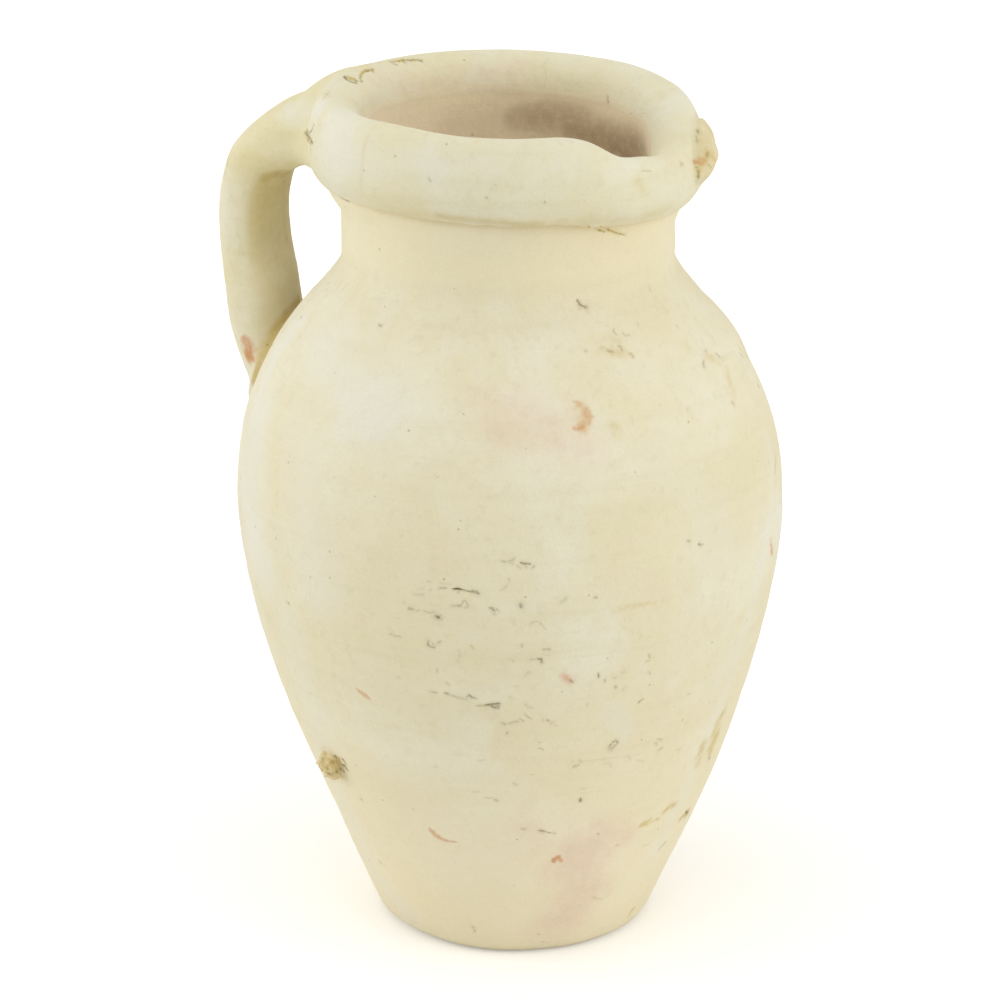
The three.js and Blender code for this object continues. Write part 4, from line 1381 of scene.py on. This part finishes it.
class Recipe:
    """Builds the nodes of a material or of the world"""

    def __init__(self, owner):
        owner.use_nodes = True
        self.nodes = owner.node_tree.nodes
        self.links = owner.node_tree.links
        self.place = self.node("TexCoord").outputs["Object"]

    def node(self, kind, fed=None, **settings):
        """A node with settings of its own, and sockets fed by name or number"""
        node = self.nodes.new("ShaderNode" + kind)
        for name, value in settings.items():
            setattr(node, name, value)
        self.feed(node, fed or {})
        return node

    def feed(self, node, fed):
        for socket, value in fed.items():
            if isinstance(value, bpy.types.NodeSocket):
                self.links.new(value, node.inputs[socket])
            else:
                node.inputs[socket].default_value = value

    def noise(self, scale, detail, rough, stretch=(1, 1, 1), warp=0.0):
        place = self.node("Mapping", {"Vector": self.place, "Scale": stretch}).outputs[0]
        fed = {"Vector": place, "Scale": scale, "Detail": detail, "Roughness": rough, "Distortion": warp}
        return self.node("TexNoise", fed).outputs["Fac"]

    def ramp(self, value, low, high, start=0, end=1, shape="SMOOTHSTEP"):
        fed = {"Value": value, "From Min": low, "From Max": high, "To Min": start, "To Max": end}
        return self.node("MapRange", fed, interpolation_type=shape).outputs["Result"]

    def math(self, operation, *values):
        return self.node("Math", dict(enumerate(values)), operation=operation).outputs[0]

    def layer(self, share, under, shade):
        """A colour laid over another"""
        fed = {"Factor": share, "A": under, "B": colour(*shade)}
        return self.node("Mix", fed, data_type="RGBA").outputs["Result"]

    def stored(self, name):
        return self.node("Attribute", attribute_name=name).outputs["Fac"]

    def specks(self, scale, size, share):
        """Round grains in some of the cells of a scale"""
        cells = self.node("TexVoronoi", {"Vector": self.place, "Scale": scale})
        near = self.ramp(cells.outputs["Distance"], size, size * 0.4)
        split = self.node("SeparateColor", {"Color": cells.outputs["Color"]})
        return self.math("MULTIPLY", near, self.math("LESS_THAN", split.outputs["Red"], share))


def clay(name, warm, pale, dull, recess_shade=0.25, torn=0.0, painted_neck_light=0.0):
    """Unglazed fired clay: cloudy colour, turning streaks, specks, stains and dirt in the voids, with painted
    shade in hollows, creases and the mouth, and painted light on the inside walls, towards the foot, on the
    neck and along the pale edges
    """
    material = bpy.data.materials.new(name)
    mat = Recipe(material)
    clouds = mat.noise(22, 4, 0.6, warp=0.4)
    patches = mat.noise(70, 5, 0.6, warp=0.6)
    mottle = mat.noise(330, 4, 0.65)
    grain = mat.noise(1500, 3, 0.6)
    streaks = mat.noise(240, 4, 0.6, stretch=(0.05, 0.05, 1))
    bands = mat.noise(60, 3, 0.6, stretch=(0.12, 0.12, 1))
    specks = mat.specks(290, 0.13, 0.11)
    height = mat.node("SeparateXYZ", {"Vector": mat.place}).outputs["Z"]
    inside = mat.stored("inside")

    def stain(kind, spared):
        """Stains and painted shade alike, broken up by the clay's own mottling"""
        return mat.math("MULTIPLY", mat.stored(kind), mat.ramp(mottle, 0.3, 0.6, spared, 1))

    # Painted shade in hollows, creases and gaps, weaker on the inside walls
    painted_recess_shade = mat.ramp(mat.stored("recess_shade"), 0.04, 0.55, 0, recess_shade)
    painted_recess_shade = mat.math("MULTIPLY", painted_recess_shade, mat.ramp(inside, 0, 1, 1, 0.25))

    tone = colour(*warm)
    for value, low, high, share, shade in (  # laid over each other as a value goes from low to high
        (clouds, 0.38, 0.64, 1, pale),
        (patches, 0.45, 0.75, 0.5, dull),
        (bands, 0.48, 0.72, 0.3, (218, 210, 170)),
        (streaks, 0.5, 0.8, 0.22, (210, 201, 160)),
        (mottle, 0.5, 0.8, 0.3, (203, 193, 154)),
        # Painted light: paler and yellower towards the foot, as light bounced from the floor
        (height, 0.1, 0.004, 0.75, (242, 230, 195)),
        # Painted light on the neck and the top of the shoulder, against the collar's shadow
        (height, 0.188, 0.204, painted_neck_light, (240, 230, 194)),
        # Painted light on the inside walls, in a warmer tone
        (inside, 0, 1, 0.85, (253, 236, 202)),
        # Paler patches, partly painted edge light
        (stain("pale", 0.8), 0.02, 1, 0.7, (230, 229, 218)),
        (stain("blush", 0.75), 0.02, 1, 0.7, (226, 198, 177)),
        # Painted shade in the mouth and a crease
        (stain("painted_brown_shade", 0.85), 0.02, 1, 0.9, (146, 112, 76)),
        (stain("ochre", 0.4), 0.02, 1, 0.85, (207, 184, 114)),
        # Painted shade in an olive tone
        (stain("painted_olive_shade", 0.85), 0.02, 1, 0.8, (186, 161, 80)),
        (stain("rust", 0.6), 0.02, 1, 0.95, (206, 149, 101)),
    ):
        tone = mat.layer(mat.ramp(value, low, high, 0, share), tone, shade)
    # Painted shade: a darker olive tan where the clay is closed in
    tone = mat.layer(painted_recess_shade, tone, (186, 162, 106))
    if torn:
        face = mat.stored("torn")
        crumbs = mat.math("MULTIPLY", face, mat.ramp(mat.noise(420, 4, 0.6), 0.45, 0.7))
        tone = mat.layer(mat.ramp(face, 0, 0.4, 0, 0.6), tone, (221, 198, 138))
        tone = mat.layer(mat.ramp(crumbs, 0, 1, 0, torn), tone, (150, 123, 70))
    tone = mat.layer(mat.ramp(specks, 0, 1, 0, 0.45), tone, (150, 130, 92))
    tone = mat.layer(mat.ramp(mat.stored("void"), 0, 1, 0, 0.78, "LINEAR"), tone, (114, 100, 62))
    tone = mat.layer(mat.ramp(grain, 0.3, 0.75, 0, 0.08), tone, (178, 166, 130))

    raised = mottle
    for value, amount in ((grain, 0.25), (streaks, 0.7), (bands, 1.2), (specks, -0.6)):
        raised = mat.math("MULTIPLY_ADD", value, amount, raised)
    bump = mat.node("Bump", {"Strength": 0.5, "Distance": 0.0004 * (1 + 2 * torn), "Height": raised})
    fed = {
        "Base Color": tone,
        "Roughness": mat.ramp(mottle, 0.3, 0.7, 0.88, 0.98),
        "Specular IOR Level": 0.2,
        "Sheen Weight": 0.12,
        "Sheen Roughness": 0.5,
        "Normal": bump.outputs["Normal"],
    }
    mat.feed(mat.nodes["Principled BSDF"], fed)
    return material


RAW_TONES = ((226, 218, 183), (228, 224, 201), (222, 213, 177))
CLAYS = {
    "body_clay": clay("body_clay", (229, 220, 187), (232, 227, 204), (227, 216, 184), painted_neck_light=0.6),
    "rim_clay": clay("rim_clay", *RAW_TONES),
    "handle_clay": clay("handle_clay", (224, 214, 170), (230, 224, 198), (217, 206, 159), recess_shade=0.2),
    "torn_clay": clay("torn_clay", *RAW_TONES, recess_shade=0.35, torn=0.55),
}

for name, _, slot, cuts in PIECES:
    piece = pieces[name]
    mark(piece, cuts)
    soften(piece)
    piece.data.materials.append(CLAYS[slot])
    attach(piece, "root")
    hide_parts(name)


# Floor, background and light, in metres

FLOOR_RADIUS = 5
SKY_STRENGTH = 0.72
FLOOR_GLOW = 0.25  # makes the floor as white as a studio sweep to the camera, and lights nothing
FAR_FLOOR_GLOW = 0.42
LAMP_AIM = (0, 0, 0.12)
LAMPS = (  # name, place and size, watts
    ("left_lamp", (-1.7, -0.6, 0.6), 1.4, 8.5),
    ("right_lamp", (1.7, 0.2, 0.5), 1.4, 8.0),
    ("top_lamp", (0.1, -0.5, 1.8), 1.6, 7.0),
)


def show_to_camera(sheet, plain, seen, output):
    """Gives one shader to light and another to the camera, also in a reflection or through something clear"""
    path = sheet.node("LightPath").outputs
    looked = sheet.math("MAXIMUM", path["Is Camera Ray"], path["Is Glossy Ray"])
    looked = sheet.math("MAXIMUM", looked, path["Is Transmission Ray"])
    mix = sheet.node("MixShader", {0: looked, 1: plain.outputs[0], 2: seen.outputs[0]})
    sheet.feed(sheet.nodes[output], {"Surface": mix.outputs[0]})


def add_floor():
    mesh = bpy.data.meshes.new("floor")
    shape = bmesh.new()
    bmesh.ops.create_circle(shape, cap_ends=True, segments=96, radius=FLOOR_RADIUS)
    shape.to_mesh(mesh)
    shape.free()
    material = bpy.data.materials.new("floor")
    sheet = Recipe(material)
    plain = sheet.nodes["Principled BSDF"]
    sheet.feed(plain, {"Base Color": colour(243, 242, 238), "Roughness": 0.9, "Specular IOR Level": 0.1})
    far = sheet.node("VectorMath", {0: sheet.place}, operation="LENGTH").outputs["Value"]
    glow = sheet.node("Emission", {"Strength": sheet.ramp(far, 0.3, 1.4, FLOOR_GLOW, FAR_FLOOR_GLOW)})
    whiter = sheet.node("AddShader", {0: plain.outputs[0], 1: glow.outputs[0]})
    show_to_camera(sheet, plain, whiter, "Material Output")
    mesh.materials.append(material)
    floor = bpy.data.objects.new("floor", mesh)
    bpy.context.scene.collection.objects.link(floor)


def add_world():
    """Soft even light, and white where the camera sees past the floor"""
    world = bpy.data.worlds.new("studio")
    bpy.context.scene.world = world
    sheet = Recipe(world)
    light = sheet.nodes["Background"]
    sheet.feed(light, {"Color": (1, 1, 1, 1), "Strength": SKY_STRENGTH})
    white = sheet.node("Background", {"Color": (1, 1, 1, 1), "Strength": 1})
    show_to_camera(sheet, light, white, "World Output")


def add_lamps():
    for name, place, size, power in LAMPS:
        data = bpy.data.lights.new(name, "AREA")
        data.shape = "DISK"
        data.size = size
        data.energy = power
        lamp = bpy.data.objects.new(name, data)
        lamp.location = place
        lamp.rotation_euler = (Vector(LAMP_AIM) - Vector(place)).to_track_quat("-Z", "Y").to_euler()
        bpy.context.scene.collection.objects.link(lamp)


add_floor()
add_world()
add_lamps()
bpy.context.scene.view_settings.view_transform = "Standard"
